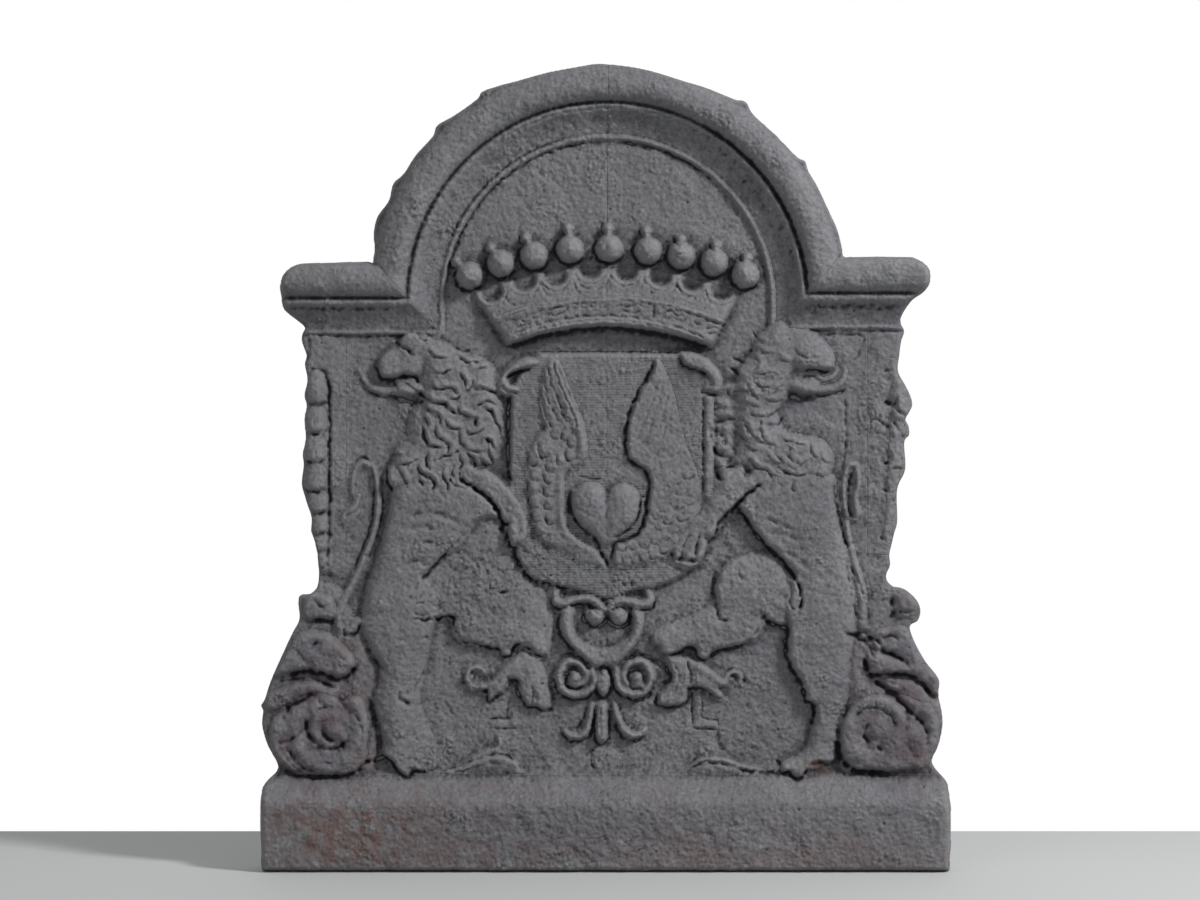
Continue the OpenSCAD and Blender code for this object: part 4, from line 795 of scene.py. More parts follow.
for ridge in ([92, 348, 5, 2.5, 80, 332, 5, 3.5, 71, 318, 4.5, 4.5, 70, 311, 4, 4.5], [98, 344, 5, 2.5,
        89, 330, 5, 4, 83, 316, 5, 5, 81, 309, 4.5, 5], [104, 342, 4, 2.5, 97, 326, 4.5, 4, 94, 314, 4, 4.5,
        92, 310, 4, 4.5], [108, 342, 4, 2, 103, 337, 5.5, 4, 100, 335, 4.5, 4], [134, 396, 5, 2,
        120, 380, 6, 3.5, 106, 360, 6, 3], [144, 386, 4, 2, 130, 374, 5, 3, 116, 358, 5, 3]):
    limb("lion_body_right", ridge, base=11, roundness=0.7, blend=0.6)
each(cut, [
    (1.4, 2.6, 83, 334, 77, 322, 75, 311),
    (1.4, 2.6, 93, 334, 90, 322, 88, 311),
    (1.9, 4.5, 66, 316, 69, 309, 76, 309, 80, 307, 88, 308, 93, 308, 97, 312)])
cut([130, 363, 140, 349, 150, 334, 165, 318, 177, 306, 187, 293, 193, 280, 194, 265, 190, 254], 1.9, 5.5,
    ends=14)
each(cut, [
    (1.8, 5, 154, 383.5, 140, 373.5, 130, 363, 119, 353, 113, 345, 109, 336),
    (1.6, 2.6, 178, 292, 184, 281, 183, 266, 188, 258),
    (1.9, 3.4, 109, 292, 107, 277, 110, 263, 113, 250, 118, 248, 124, 249),
    (1.6, 1.2, 134, 306, 132, 297, 135, 288),
    (2.2, 6, 157, 254, 160, 248, 170, 243, 181, 239, 180, 225, 181, 212, 186, 199, 194, 186, 198, 176,
     200, 167, 206, 165, 208, 157, 206, 145),
    (1.8, 3, 157, 252, 151, 238, 142, 227, 128, 221, 112, 217, 103, 211, 97, 208, 92, 212, 88, 219, 80, 221,
     70, 214, 55, 214),
    (2.6, 5, 98, 332, 101, 328, 108, 328),
    (1.2, 1.6, 62, 304, 74, 298, 86, 297),
    (2, 4.5, 172, 108, 175, 97, 183, 96.5, 190, 89, 196, 94, 203, 102, 212, 106.5, 222, 103.5)])
for ribs in ([150, 352, 172, 344, 190, 336], [158, 336, 176, 334, 196, 326], [170, 318, 186, 312, 202, 300],
        [186, 300, 198, 292, 206, 284]):
    cut(ribs, 2.6, 1.6, ends=12)
slab("lion_mane_right", [180, 546, 0, 166, 546, 0, 150, 530, 0, 142, 513, 0, 134, 503, 16, 130, 494, 16,
    128, 484, 18, 126, 472, 24, 125, 456, 26, 127, 440, 26, 128, 420, 24, 126, 406, 16, 140, 398, 12,
    152, 391, 10, 166, 386, 10, 182, 384, 10, 200, 380, 10, 216, 384, 12, 226, 394, 12, 229, 408, 0,
    224, 422, 0, 212, 431, 0, 196, 434, 0, 182, 438, 0, 174, 448, 0, 174, 460, 0, 184, 471, 0, 186, 484, 0,
    192, 500, 0, 196, 520, 0], 12.5, edge=20, power=0.7)
slab("lion_mane_right", [176, 541, 34, 192, 543, 34, 206, 539, 32, 217, 530, 28, 226, 518, 22,
    229.5, 507, 13, 228, 500, 8, 220, 497, 6, 210, 496.5, 6, 202, 497, 6, 194, 496, 8, 182, 500, 20,
    170, 520, 34], 13.5, power=0.75, blend=2)
slab("lion_mane_right", [(184, 503), (212, 500), (214, 484), (206, 474), (188, 475), (182, 488)], 6, edge=7)
limb("lion_mane_right", [187, 483, 8, 10, 197, 480, 8, 11, 206, 479, 7, 9.5], roundness=0.7, blend=2)
limb("lion_mane_right", [208, 478, 5, 7, 221, 478.5, 4.6, 6, 231, 482, 4.6, 5.5, 237, 490, 3.8, 5,
    239, 500, 2, 3], roundness=0.45)
limb("lion_mane_right", [212, 487, 3, 5.5, 221, 488.5, 3.4, 5, 228, 493, 3, 4.5, 231, 500, 1.6, 3],
    roundness=0.45)
each(cut, [
    (1.2, 3, 198, 497, 206, 498, 214, 497, 222, 495.5),
    (2, 4, 195, 489, 201, 491.5, 208, 490, 214, 486),
    (3.6, 4.6, 181, 473, 189, 471.5, 197, 469, 205, 470),
    (1.6, 3.5, 210, 473, 222, 473, 237, 477),
    (1.5, 2.4, 186, 519, 191, 513, 198, 510),
    (1.3, 2, 239, 474, 239.5, 440, 239, 420, 236, 396),
    (1.2, 1.6, 211, 533, 235, 533, 257, 531, 254, 518, 248, 507)])
tresses("lion_mane_right", [(1.7, [127, 510, 132, 508, 138, 505]), (2, [124, 501, 128, 497, 134, 492]),
    [151, 492, 160, 494, 171, 494], [140, 484, 146, 474, 151, 468], [164, 471, 170, 478, 179, 482],
    [128, 476, 134, 478, 140, 476], [138, 466, 145, 463, 150, 460], [157, 468, 166, 466, 176, 466], (1.4,
    [144, 453, 154, 451, 165, 453, 173, 460]), [136, 448, 142, 438, 150, 428, 164, 422], [154, 447,
    155, 435, 160, 426, 168, 422], [160, 443, 171, 444, 176, 450], (1.4, [176, 428, 186, 425, 197, 423]),
    (1.4, [140, 410, 146, 404, 153, 399]), (1.5, [153, 400, 161, 396, 165, 390]), [170, 412, 176, 404],
    (1.4, [172, 402, 180, 395, 190, 392, 198, 393]), [180, 403, 190, 397], [206, 395, 213, 393, 217, 389],
    [188, 409, 193, 403, 202, 408], [203, 424, 205, 414, 210, 410], [212, 416, 216, 408, 222, 404],
    [184, 422, 182, 412, 188, 404], (1.3, [113, 401, 120, 401, 128, 401, 134, 396, 140, 391]), [147, 512,
    151, 504, 146, 496], [188, 386, 184, 379, 190, 376], [164, 386, 170, 388, 176, 382], [150, 484,
    156, 480, 164, 480], [150, 520, 158, 514, 166, 514], [174, 508, 182, 505], [132, 440, 136, 430,
    144, 424], [138, 424, 146, 418, 156, 416], [160, 414, 166, 406, 174, 404], [205, 432, 212, 430],
    [146, 538, 150, 530, 158, 524], [120, 478, 123, 472], [214, 404, 210, 396, 214, 388]], lift=2.6,
    width=1, depth=2)
slab("lion_mane_right", [(105, 472), (128, 486), (140, 480), (140, 400), (126, 386), (104, 384)], 4.5,
    edge=7)
for bud in ([113, 466, 6, 7, 120, 464, 6, 8], [112, 455, 5, 7, 121, 453, 7, 8], [110, 441, 5, 6,
        120, 440, 8, 8], [108, 430, 5, 7, 113, 422, 7, 8, 120, 416, 6, 7], [123, 428, 5, 7, 124, 412, 5, 7],
        [112, 408, 6, 7, 118, 400, 6, 8], [112, 393, 5, 7, 110, 387, 4, 6]):
    limb("lion_mane_right", bud, roundness=0.6, blend=0.5)
each(cut, [
    (1.3, 1.8, 106, 447, 114, 446, 125, 448),
    (2.2, 3.4, 105, 440, 106, 425, 110, 415, 116, 411),
    (2, 2.4, 126, 422, 126, 413, 121, 405),
    (2.6, 3.8, 108, 400, 112, 392, 116, 388)])

# Tails
limb("lion_tail_left", [-253, 372, 2, 3.5, -253, 392, 2.8, 4.5, -248, 402, 3, 5, -241, 405, 3.2, 5.5,
    -233, 400, 3.4, 5.5, -229, 385, 3.4, 5.5, -227.5, 364, 3.6, 5.5, -230, 344, 3.6, 5.5, -237, 322, 3.8, 6,
    -247, 298, 3.8, 6, -257, 278, 4.5, 7, -265, 262, 5.5, 9, -268, 248, 5.5, 10, -262, 239, 5.5, 10,
    -254, 239, 5.5, 10, -248, 248, 5, 8])
limb("lion_tail_left", [-247, 372, 3, 4, -250, 362, 4.5, 5, -258, 356, 5, 5, -264, 348, 4, 4])
limb("lion_tail_left", [-248, 356, 3, 4, -256, 348, 4, 5, -262, 340, 3, 4])
each(cut, [
    (1.2, 2.8, -251, 405, -246, 409.5, -239, 409, -234.5, 402, -232.5, 388, -231.5, 370, -234, 346,
     -241, 324, -252, 299),
    (1.1, 2, -224, 392, -223, 370, -225, 350, -232, 325, -243, 300),
    (1.2, 2.4, -260, 351, -254, 355, -248, 359, -245, 374),
    (1.8, 3.5, -264, 241, -258, 233, -250, 235, -245, 244)])
limb("lion_tail_right", [240, 352, 2.4, 4.5, 237, 372, 2.6, 5, 238, 392, 3, 5.5, 243, 403, 3.2, 5.5,
    250, 402, 3.2, 5.5, 252, 386, 3.2, 5.5, 249, 370, 3.2, 5.5, 251, 354, 4.5, 6, 247, 348, 3, 5])
limb("lion_tail_right", [240, 345, 3, 5, 243, 326, 3.8, 6, 248, 305, 4.2, 6.5, 253, 285, 5.5, 7,
    256, 262, 6.5, 8, 256, 243, 7, 8.5])
each(cut, [
    (1.5, 3, 227, 388, 229, 366, 234, 346, 239, 325, 244, 323),
    (1.3, 2.2, 240, 305, 243, 284, 246, 266, 250, 252),
    (1.3, 2.2, 245, 301, 253, 284, 260, 262, 262, 244),
    (1.5, 2.6, 245, 396, 242, 380, 242, 364, 246, 352, 252, 350),
    (1.8, 3.4, 238, 236, 248, 233, 256, 236, 264, 228, 268, 218)])

# ------------------------ ground, scrollwork
slab("ground_left", [-166, 95, 6, -150, 101, 4, -136, 108, 3, -124, 115, 3, -111, 119, 3, -100, 116, 3,
    -91, 110, 3, -84, 100, 3, -82, 95, 3, -100, 94, 8, -130, 93, 8], 7, edge=6)
limb("ground_left", [-157, 97, 2.4, 2, -142, 101, 2.8, 3, -128, 107, 2.8, 3, -113, 110, 3, 3,
    -98, 109, 3, 3, -88, 103, 2.6, 2.4, -83, 97, 2, 1.6], base=6, blend=0.5)
limb("ground_left", [-134, 110, 2, 2, -122, 116, 2.6, 3, -110, 119, 2.8, 3, -105, 125, 2.4, 3,
    -107, 130, 1.6, 2], base=5, blend=0.5)
each(cut, [
    (1.3, 2.4, -158, 99, -143, 103, -128, 110, -114, 113.5, -99, 112, -91, 107),
    (1.8, 3.6, -114, 115, -98, 113, -90.5, 107, -84, 98.5),
    (1.1, 1.8, -152, 97, -138, 99, -124, 103)])
slab("ground_right", [82, 98, 3, 87, 105, 3, 93, 111, 3, 106, 112, 3, 118, 111, 3, 130, 106, 4, 146, 100, 5,
    176, 96, 5, 150, 93, 8, 110, 92, 8], 6.5, edge=6)
limb("ground_right", [84, 99, 2, 2, 92, 106, 2.6, 3, 104, 109, 3, 3.4, 118, 108, 3, 3, 134, 102, 3, 2.6,
    156, 97.5, 2.4, 2], base=5.5, blend=0.5)
cut([83, 97, 88, 101, 96, 106.5, 108, 106, 121, 104, 132, 100.5, 146, 97.5, 172, 96], 2, 4)
cut([84, 104, 90, 110, 98, 113], 1.3, 2.4)

# Lyre: two arms with their eyes, two legs, and the plate they meet in
limb("lyre_scroll", [-50, 277, 4, 6, -51, 268, 5, 9, -44, 265, 5.5, 10, -32, 268, 5, 10, -20, 270, 4.5, 10,
    -9, 266, 4.5, 10, -3, 259, 4, 9], blend=1)
limb("lyre_scroll", [42, 277, 4, 6, 44, 268, 5, 9, 37, 263, 5.5, 10, 26, 266, 5, 10, 16, 268, 4.5, 10,
    7, 265, 4.5, 10, 2, 259, 4, 9], blend=1)
for side, cx in ((-1, -11.5), (1, 13.5)):
    dome("lyre_scroll", cx, 252.5, 10.5, 11.5, roundness=0.5)
    cut([(cx + side * 11, 255), (cx + side * 8.5, 247), (cx + side * 2, 241.5), (cx - side * 6, 243),
        (cx - side * 11, 249)], 2.4, 5.5)
    cut([(cx - side * 6, 259), (cx + side * 1, 261), (cx + side * 6, 257), (cx + side * 4, 251)], 1.2, 2.4)
slab("lyre_scroll", [-46, 261, 5, -47.5, 248, 4, -45, 235, 4, -39, 226, 4, -33, 219, 4, -22, 211, 4,
    -12, 200, 4, -6, 200, 4, -1, 203, 5, 4, 200, 4, 10, 201, 4, 19, 211, 4, 28, 220, 4, 34, 230, 4,
    38, 243, 4, 37, 259, 5, 25, 260, 3, 26.5, 247, 3, 24, 236, 4, 14, 226, 8, -2, 221, 12, -18, 225, 8,
    -29, 234, 4, -33, 246, 3, -32, 260, 3], 8.5, edge=4)
limb("lyre_scroll", [-39, 258, 3.5, 2, -40, 245, 4, 3, -36, 231, 4, 3, -26, 219, 4, 3, -14, 208, 3.5, 2],
    base=8, roundness=0.7, blend=1)
limb("lyre_scroll", [31, 258, 3.5, 2, 32, 245, 4, 3, 29, 232, 4, 3, 20, 219, 4, 3, 9, 208, 3.5, 2], base=8,
    roundness=0.7, blend=1)
each(cut, [
    (1.8, 3.2, -45, 258, -47.5, 244, -44.5, 232, -39, 225, -32, 218),
    (1.5, 3, -53.5, 274, -54.5, 265, -47, 259.5, -36, 262.5, -26, 265, -15, 261.5, -9, 255),
    (1.5, 3, 50, 270, 46, 260.5, 34, 257.8, 22, 261),
    (1, 1.2, 26, 231, 20, 225, 12, 221)])

# Lower volutes, the bud between them and the pendant
limb("lower_volutes", [-14, 200, 3, 8, -12, 190, 4, 9.5, -14, 181, 4.5, 10, -22, 175, 5, 10.5,
    -32, 174, 5.5, 10.5, -42, 178, 5, 10.5, -47, 188, 5, 10.5, -45, 199, 5, 10.5, -37, 207, 4.5, 10,
    -27, 205, 4.2, 9.5, -20.5, 197, 4, 9, -21, 188, 4, 9, -28, 183, 4, 9.5, -35, 186, 4, 9.5], gap=1.5)
dome("lower_volutes", -31, 191, 6.5, 12)
limb("lower_volutes", [10, 200, 3, 8, 10, 190, 4, 9.5, 13, 181, 4.5, 10, 21, 175, 5, 10.5,
    31, 174, 5.5, 10.5, 40, 179, 5, 10.5, 45, 188, 5, 10.5, 43, 200, 5, 10.5, 35, 207, 4.5, 10,
    24, 205, 4.2, 9.5, 18, 198, 4, 9, 19, 188, 4, 9, 26, 182, 4, 9.5, 34, 184, 4, 9.5], gap=1.5)
dome("lower_volutes", 31, 191, 6.5, 12)
each(cut, [
    (1.9, 4, -51, 190, -49, 180, -43, 173, -32, 169, -20, 170.5, -11.5, 177),
    (1.5, 3.2, -40, 190, -39, 183, -32, 179, -24, 182),
    (1.3, 2.2, -44, 214, -32, 213.5, -24, 209, -17, 199),
    (2.2, 5, 3.5, 198, 6, 187, 11, 177, 21, 170.5, 34, 169, 43, 175, 49, 187),
    (1.9, 4, 23, 197, 21.5, 189, 26, 181, 35, 178.5)])
cut([20, 209, 30, 212.5, 42, 211, 53, 204.5, 61, 198, 64.5, 190, 60, 186], 2.3, 5, ends=10)
slab("centre_bud", [-3, 200, 4, -9, 192, 3.5, -9.5, 182, 3.5, -6, 174, 3, -2, 171, 2.5, 2, 176, 3,
    4.5, 184, 3.5, 5, 193, 3.5, 2, 199, 4], 10)
each(cut, [
    (1.8, 4, -11, 184, -8, 174, -2, 169.8, 3, 175, 5, 182),
    (1.5, 3, -7, 199, -3, 202, 3, 199, 6, 192),
    (1, 1.4, -5, 196, -5.5, 186, -3, 178)])
slab("pendant", [-9, 166, 6, -10.5, 150, 3, -11, 135, 3, -8, 127, 3, -4, 124.5, 3, 0, 127, 3, 1.5, 135, 3,
    1.5, 150, 3, 1, 166, 6], 9.5)
cut([-6, 162, -6, 148, -5, 134], 1, 1.8)
cut([-11.5, 160, -12, 142, -10, 128, -5, 123, 1, 127, 3, 140, 3, 158], 1.5, 3)
for pts in ([-14, 166, 3, 5, -16, 152, 4, 8, -19, 140, 4.5, 9, -27, 132, 4.8, 9, -36, 133, 4.2, 8,
        -42, 138, 3, 5], [7, 166, 3, 5, 11, 153, 4, 8, 16, 141, 4.5, 9, 25, 133, 4.8, 9, 33, 133.5, 4.2, 8,
        39, 139, 3, 5]):
    limb("pendant", pts, blend=1)
each(cut, [
    (1.8, 3.6, -45, 137, -38, 128.5, -28, 127, -19, 130.5, -14, 138, -12.5, 150),
    (1.9, 3.8, 9.5, 148, 12, 138, 19, 129.5, 28, 127.5, 38, 131),
    (1, 1.4, 12, 165, 17, 152, 22, 143, 30, 139),
    (1, 1.4, -20, 160, -23, 148, -30, 139)])
dome("pendant", 1, 106, 15.5, 2.6, roundness=0.5)
cut([-9, 124, -14.5, 115, -15, 106, -11, 98], 1.7, 2.6)

# Sprays
limb("spray_left", volute(-129.5, 191, 11.5, 9, -55, -275, 3.6, 2.6, 9, 6), blend=0.5)
limb("spray_left", [-123, 181, 4, 9, -114, 184, 4.5, 9.5, -104, 193, 5, 9.5, -93, 204, 5.5, 9.5,
    -82, 212, 6, 8], blend=1)
slab("spray_left", [-118, 182, 2.5, -117, 166, 2, -111, 172, 2.5, -104, 176, 3, -97, 188, 3, -88, 187, 3,
    -87, 175, 3, -82, 169, 3, -78, 162, 3, -69, 161, 3, -61, 158, 4, -55, 163, 9, -54, 176, 14,
    -58, 190, 16, -62, 202, 16, -70, 214, 12, -84, 212, 8, -98, 198, 4, -109, 187, 4], 8, edge=4)
for ridge in ([-114, 171, 2, 1, -108, 181, 3, 2, -99, 193, 3, 2], [-80, 170, 3.5, 2, -77, 182, 4.5, 3,
        -76, 198, 4.5, 3], [-67, 166, 4, 2, -68, 178, 4.5, 3, -71, 192, 4, 2.5], [-92, 196, 4, 2,
        -84, 204, 4, 2.5]):
    limb("spray_left", ridge, base=7, roundness=0.7, blend=0.6)
each(cut, [
    (2.2, 4.2, -143, 196, -142, 188, -136, 182, -128, 178.5, -119, 178.5),
    (1.8, 3.8, -119, 181, -118.5, 170, -116, 165, -111, 171, -105, 175),
    (1.4, 2.6, -135, 195, -130, 199, -124, 196),
    (1.9, 4, -99, 190.5, -93, 187.5, -88, 187, -88, 176, -83, 169, -79, 162, -69, 160.5, -61, 156.5,
     -54, 160),
    (1.1, 1.8, -74, 164, -73, 174, -75, 184),
    (1.3, 2.2, -60, 190, -66, 188, -62, 182)])
slab("spray_right", [60, 214, 6, 74, 212, 6, 84, 211, 5, 96, 204, 4, 108, 196, 4, 120, 186, 4, 112, 178, 8,
    123, 165, 3, 108, 171.5, 3, 99, 179.5, 3, 88, 181, 3, 82, 180, 3, 80, 166, 3, 72, 162, 3, 63, 161.5, 3,
    52, 164, 3, 51, 171, 3, 58, 180, 5, 66, 192, 3, 63, 202, 3], 8, edge=5)
limb("spray_right", volute(128, 189, 9, 7, 200, -250, 3.2, 2.4, 7, 5), blend=0.5)
for ridge in ([60, 168, 3.5, 2, 70, 178, 4.5, 3, 73, 196, 5, 3], [74, 168, 3.5, 2, 77, 182, 4, 3,
        80, 200, 4, 2.5], [92, 202, 5, 2.5, 106, 193, 4.5, 2.5, 116, 185, 4, 2], [92, 190, 4, 2,
        104, 181, 4, 2, 114, 173, 3, 1.5]):
    limb("spray_right", ridge, base=7, roundness=0.7, blend=0.6)
each(cut, [
    (1.9, 4, 51, 172, 50, 164, 62, 161, 72, 162, 80, 165.5, 82, 172),
    (1.6, 3, 79, 209, 84, 198, 84, 187, 82, 180, 90, 181, 98, 179),
    (1.5, 2.4, 99, 179.5, 109, 171.5, 123, 165),
    (1.8, 3.4, 119, 195, 126, 199, 134, 196, 137, 189, 131, 181),
    (1.6, 2.6, 124, 191, 129, 193, 131, 188),
    (1.2, 2, 68, 206, 72, 192, 68, 176)])

# Frets: thin angular straps, outlined
for name, pts, h in (("fret_right", [(87, 176), (95, 176), (96, 150), (111, 147.5), (112.5, 139),
        (88, 141)], 2), ("fret_left", [(-114, 149), (-97, 149.5), (-95, 162), (-88, 162), (-89, 141),
        (-112, 141)], 1.6)):
    slab(name, pts, h, edge=2, smooth=False)
each(cut, [
    (1.2, 2.6, 86, 176, 86, 158, 86.5, 141.5),
    (1.2, 2.6, 86, 141, 99, 139.5, 113, 138),
    (1.1, 2.2, 113, 139, 112, 148),
    (1, 2, 96, 176, 95.5, 160, 96, 150, 104, 149, 112, 147),
    (1.6, 3, 112, 137, 111.5, 126, 118, 117),
    (1.2, 2.6, -115, 149.5, -96, 149.5),
    (1.2, 2.6, -113, 140, -90, 140),
    (1, 1.4, -94, 175, -98, 162, -99, 151),
    (1, 1.4, -125, 160, -127, 150, -129, 137),
    (1.4, 2, -161, 166, -155, 156, -150, 152)])

# ------------------------ the pattern's seam
cut([0.5, 806, 0.5, 770, 0.8, 745, 0.8, 700, 0.5, 640, 0.5, 540, 0.5, 400, 0.5, 300, 0.5, 206], 0.75, 0.7)

# ------------------------ one surface, and who owns each part
order = [n for n in NODES if n != "back_plate"]
stack = np.stack([relief[n] for n in order])
highest = stack.argmax(0)
surface = stack.max(0)
field = surface < FIELD_TOP
owner = np.where(field, FIELD, highest)
surface = np.where(field, np.maximum(surface, 0), surface)
surface = np.where((Z > PLINTH_TOP) & (slope > 0), joined(surface, slope, 4.0), surface)
plate = rim > -1.5                                  # past the outline, so that blurs keep the edge up
surface = blurred(surface, 0.9, plate)

# Carved forms get walls that lean, as a mould needs; the mouldings stay crisp
MOULDED = [order.index(n) for n in order if n.startswith(("arch", "cornice", "plinth"))]
carved = 1 - np.clip(1.6 * blurred(np.isin(owner, MOULDED).astype(float), 3.0), 0, 1)
drafted = np.maximum(blurred(surface, 1.3, plate), blurred(surface, 3.0, plate) - 0.9)
surface += (drafted - surface) * carved
cut_heights(surface)
hatch = 0.6 * np.sin(2 * math.pi * Z / HATCH_STEP) * smooth_step(grain(22.0, 21), -1.6, -0.2)
surface += np.where(owner == order.index("shield_field"), hatch, 0)
surface = blurred(surface, 0.45, plate)
surface -= 2.4 * (1 - quarter(rim / 3.5))           # the plate's front edge is rounded

# Wear of the whole surface: sand grain, scabs and pits, then eaten and cracked places
rough = 0.17 * grain(2.2, 11) + 0.2 * grain(4.6, 12) + 0.34 * grain(14.0, 13)
scab = smooth_step(grain(26.0, 14), 0.7, 1.6) * (0.5 + 0.9 * np.abs(grain(4.0, 15)))
pits = -1.3 * smooth_step(grain(3.4, 16), 2.3, 3.4)
worn = np.zeros(X.shape)                            # by x, z, reach and strength
for x, z, r, k in ((-76, 312, 34, 1), (-125, 285, 54, 1), (-165, 262, 24, 0.8), (-140, 200, 60, 0.5),
        (-120, 150, 50, 0.6), (-60, 720, 70, 0.6), (-175, 650, 40, 0.8), (130, 330, 60, 0.5),
        (60, 420, 44, 0.5), (-60, 175, 24, 0.9), (-40, 255, 60, 0.3), (300, 420, 60, 0.7),
        (-300, 300, 60, 0.6), (0, 60, 330, 0.6), (150, 720, 60, 0.6), (118, 430, 30, 1)):
    worn = np.maximum(worn, k * np.exp(-((X - x) ** 2 + (Z - z) ** 2) / r ** 2))
eaten = grain(3.2, 17) * 0.5 + grain(7.0, 18) * 0.6 - 1.0 * smooth_step(grain(6.0, 19), 1.2, 2.4)
cracks = np.exp(-(grain(9.0, 33) / 0.1) ** 2) * smooth_step(grain(16.0, 34), 0.1, 0.9)
surface += rough + 0.7 * scab + pits + worn * (eaten * 0.7 - 1.5 * cracks)

# How sunk each place is against what is near and farther around it, for the colours: painted shade in
# creases and recesses, and a painted highlight on what stands out. The outer edge stays clear of them.
inward = smooth_step(rim, 1.0, 4.0)
sink_for_painted_light = inward * (0.6 * blurred(surface, 1.8, plate) + 0.4 * blurred(surface, 5.0, plate) - surface)
deep = inward * (blurred(surface, 12.0, plate) - surface)


def spots(places):
    """Strength of a stain, a tint or a patch of painted shade: soft ellipses x, z, half width, half height,
    strength, broken up by grain.
    """
    out = np.zeros(X.shape)
    for x, z, rx, rz, k in places:
        out = np.maximum(out, k * np.exp(-((X - x) / rx) ** 2 - ((Z - z) / rz) ** 2))
    return np.clip(out * (1 + 0.45 * grain(9.0, 31) + 0.3 * grain(26.0, 32)), 0, 1)


rust = spots([(-258, 40, 80, 34, 0.85), (-120, 22, 120, 18, 0.35), (215, 102, 13, 7, 0.9),
    (-236, 112, 16, 12, 0.5), (310, 116, 16, 22, 0.5), (200, 15, 140, 16, 0.3), (-318, 130, 20, 40, 0.35),
    (-195, 467, 14, 6, 0.3)])
# The purple-brown tint the iron has on the consoles, along the foot and in the top corners; the patches on
# the cornices' and the arch's hollows, along the lions' backs, under their heads and below the right lion's
# body are painted shade.
tint_and_painted_shade = spots([(-292, 150, 52, 90, 0.75), (288, 150, 50, 90, 0.7), (0, 40, 420, 44, 0.3),
    (-290, 545, 70, 14, 0.45), (290, 548, 70, 14, 0.45), (-330, 585, 20, 26, 0.6), (330, 585, 20, 26, 0.5),
    (-230, 350, 8, 60, 0.35), (228, 370, 8, 50, 0.35), (-200, 455, 30, 30, 0.35), (196, 468, 26, 12, 0.5),
    (130, 222, 60, 10, 0.4), (185, 600, 14, 60, 0.25)])


# ------------------------ meshes
def fitted(xs, zs):
    """Which cells of a grid are on the plate, which samples are its border, and the samples' places,
    with the border moved onto the outline."""
    step = xs[1] - xs[0]
    cells = rim_depth(xs[:-1] + step / 2, zs[:-1] + step / 2) > 0
    x, z = np.meshgrid(xs, zs)
    touch = np.zeros(x.shape, int)                      # how many cells of the plate meet at a sample
    for dz in (0, 1):
        for dx in (0, 1):
            touch[dz:len(zs) - 1 + dz, dx:len(xs) - 1 + dx] += cells
    border = (touch > 0) & (touch < 4)
    px, pz = x[border], z[border]
    best = np.full(len(px), 1e9)
    qx, qz = px.copy(), pz.copy()
    for a, b in zip(outline, np.roll(outline, -1, axis=0)):
        t, off = nearest(a, b - a, px, pz)
        closer = off < best
        best[closer] = off[closer]
        qx[closer], qz[closer] = (a[:, None] + t * (b - a)[:, None])[:, closer]
    x[border], z[border] = qx, qz
    return cells, border, x, np.maximum(z, 0.0)


def casting(name, node, material, mask, x, z, near, far, layers=None):
    """A closed mesh over the masked cells: their samples at near, a skirt, and again at far. The layers
    are numbers for the material at the near samples. With them the near side is smooth and faces the
    front, and without them it is flat-shaded and faces the back."""
    j, i = np.nonzero(mask)
    first = j * x.shape[1] + i
    up = first + x.shape[1]
    used, flat = np.unique(np.stack([first, first + 1, up + 1, up], 1), return_inverse=True)
    quads = flat.reshape(-1, 4)
    n = len(used)
    ends = np.stack([np.stack([x.ravel()[used], y.ravel()[used], z.ravel()[used]], 1) for y in (near, far)])
    sides = np.concatenate([quads[:, [k, (k + 1) % 4]] for k in range(4)])
    key = np.sort(sides, 1) @ [n, 1]
    _, first, count = np.unique(key, return_index=True, return_counts=True)
    lip = sides[first[count == 1]]                      # sides that only one cell has
    skirt = np.stack([lip[:, 1], lip[:, 0], lip[:, 0] + n, lip[:, 1] + n], 1)
    faces = np.concatenate([quads, skirt, quads[:, ::-1] + n])
    if layers is None:
        faces = faces[:, ::-1]
    mesh = bpy.data.meshes.new(name)
    mesh.vertices.add(2 * n)
    mesh.vertices.foreach_set("co", (ends * MM).ravel())
    mesh.loops.add(faces.size)
    mesh.loops.foreach_set("vertex_index", faces.ravel())
    mesh.polygons.add(len(faces))
    mesh.polygons.foreach_set("loop_start", np.arange(len(faces)) * 4)
    mesh.polygons.foreach_set("loop_total", np.full(len(faces), 4))
    mesh.update(calc_edges=True)
    if layers is not None:
        mesh.polygons.foreach_set("use_smooth", np.arange(len(faces)) < len(quads))
        for title, values in layers.items():
            layer = mesh.attributes.new(title, "FLOAT", "POINT")
            layer.data.foreach_set("value", np.append(values.ravel()[used], np.zeros(n)).astype(np.float32))
    mesh.materials.append(material)
    obj = bpy.data.objects.new(name, mesh)
    bpy.context.scene.collection.objects.link(obj)
    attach(obj, "root")
    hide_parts(node)


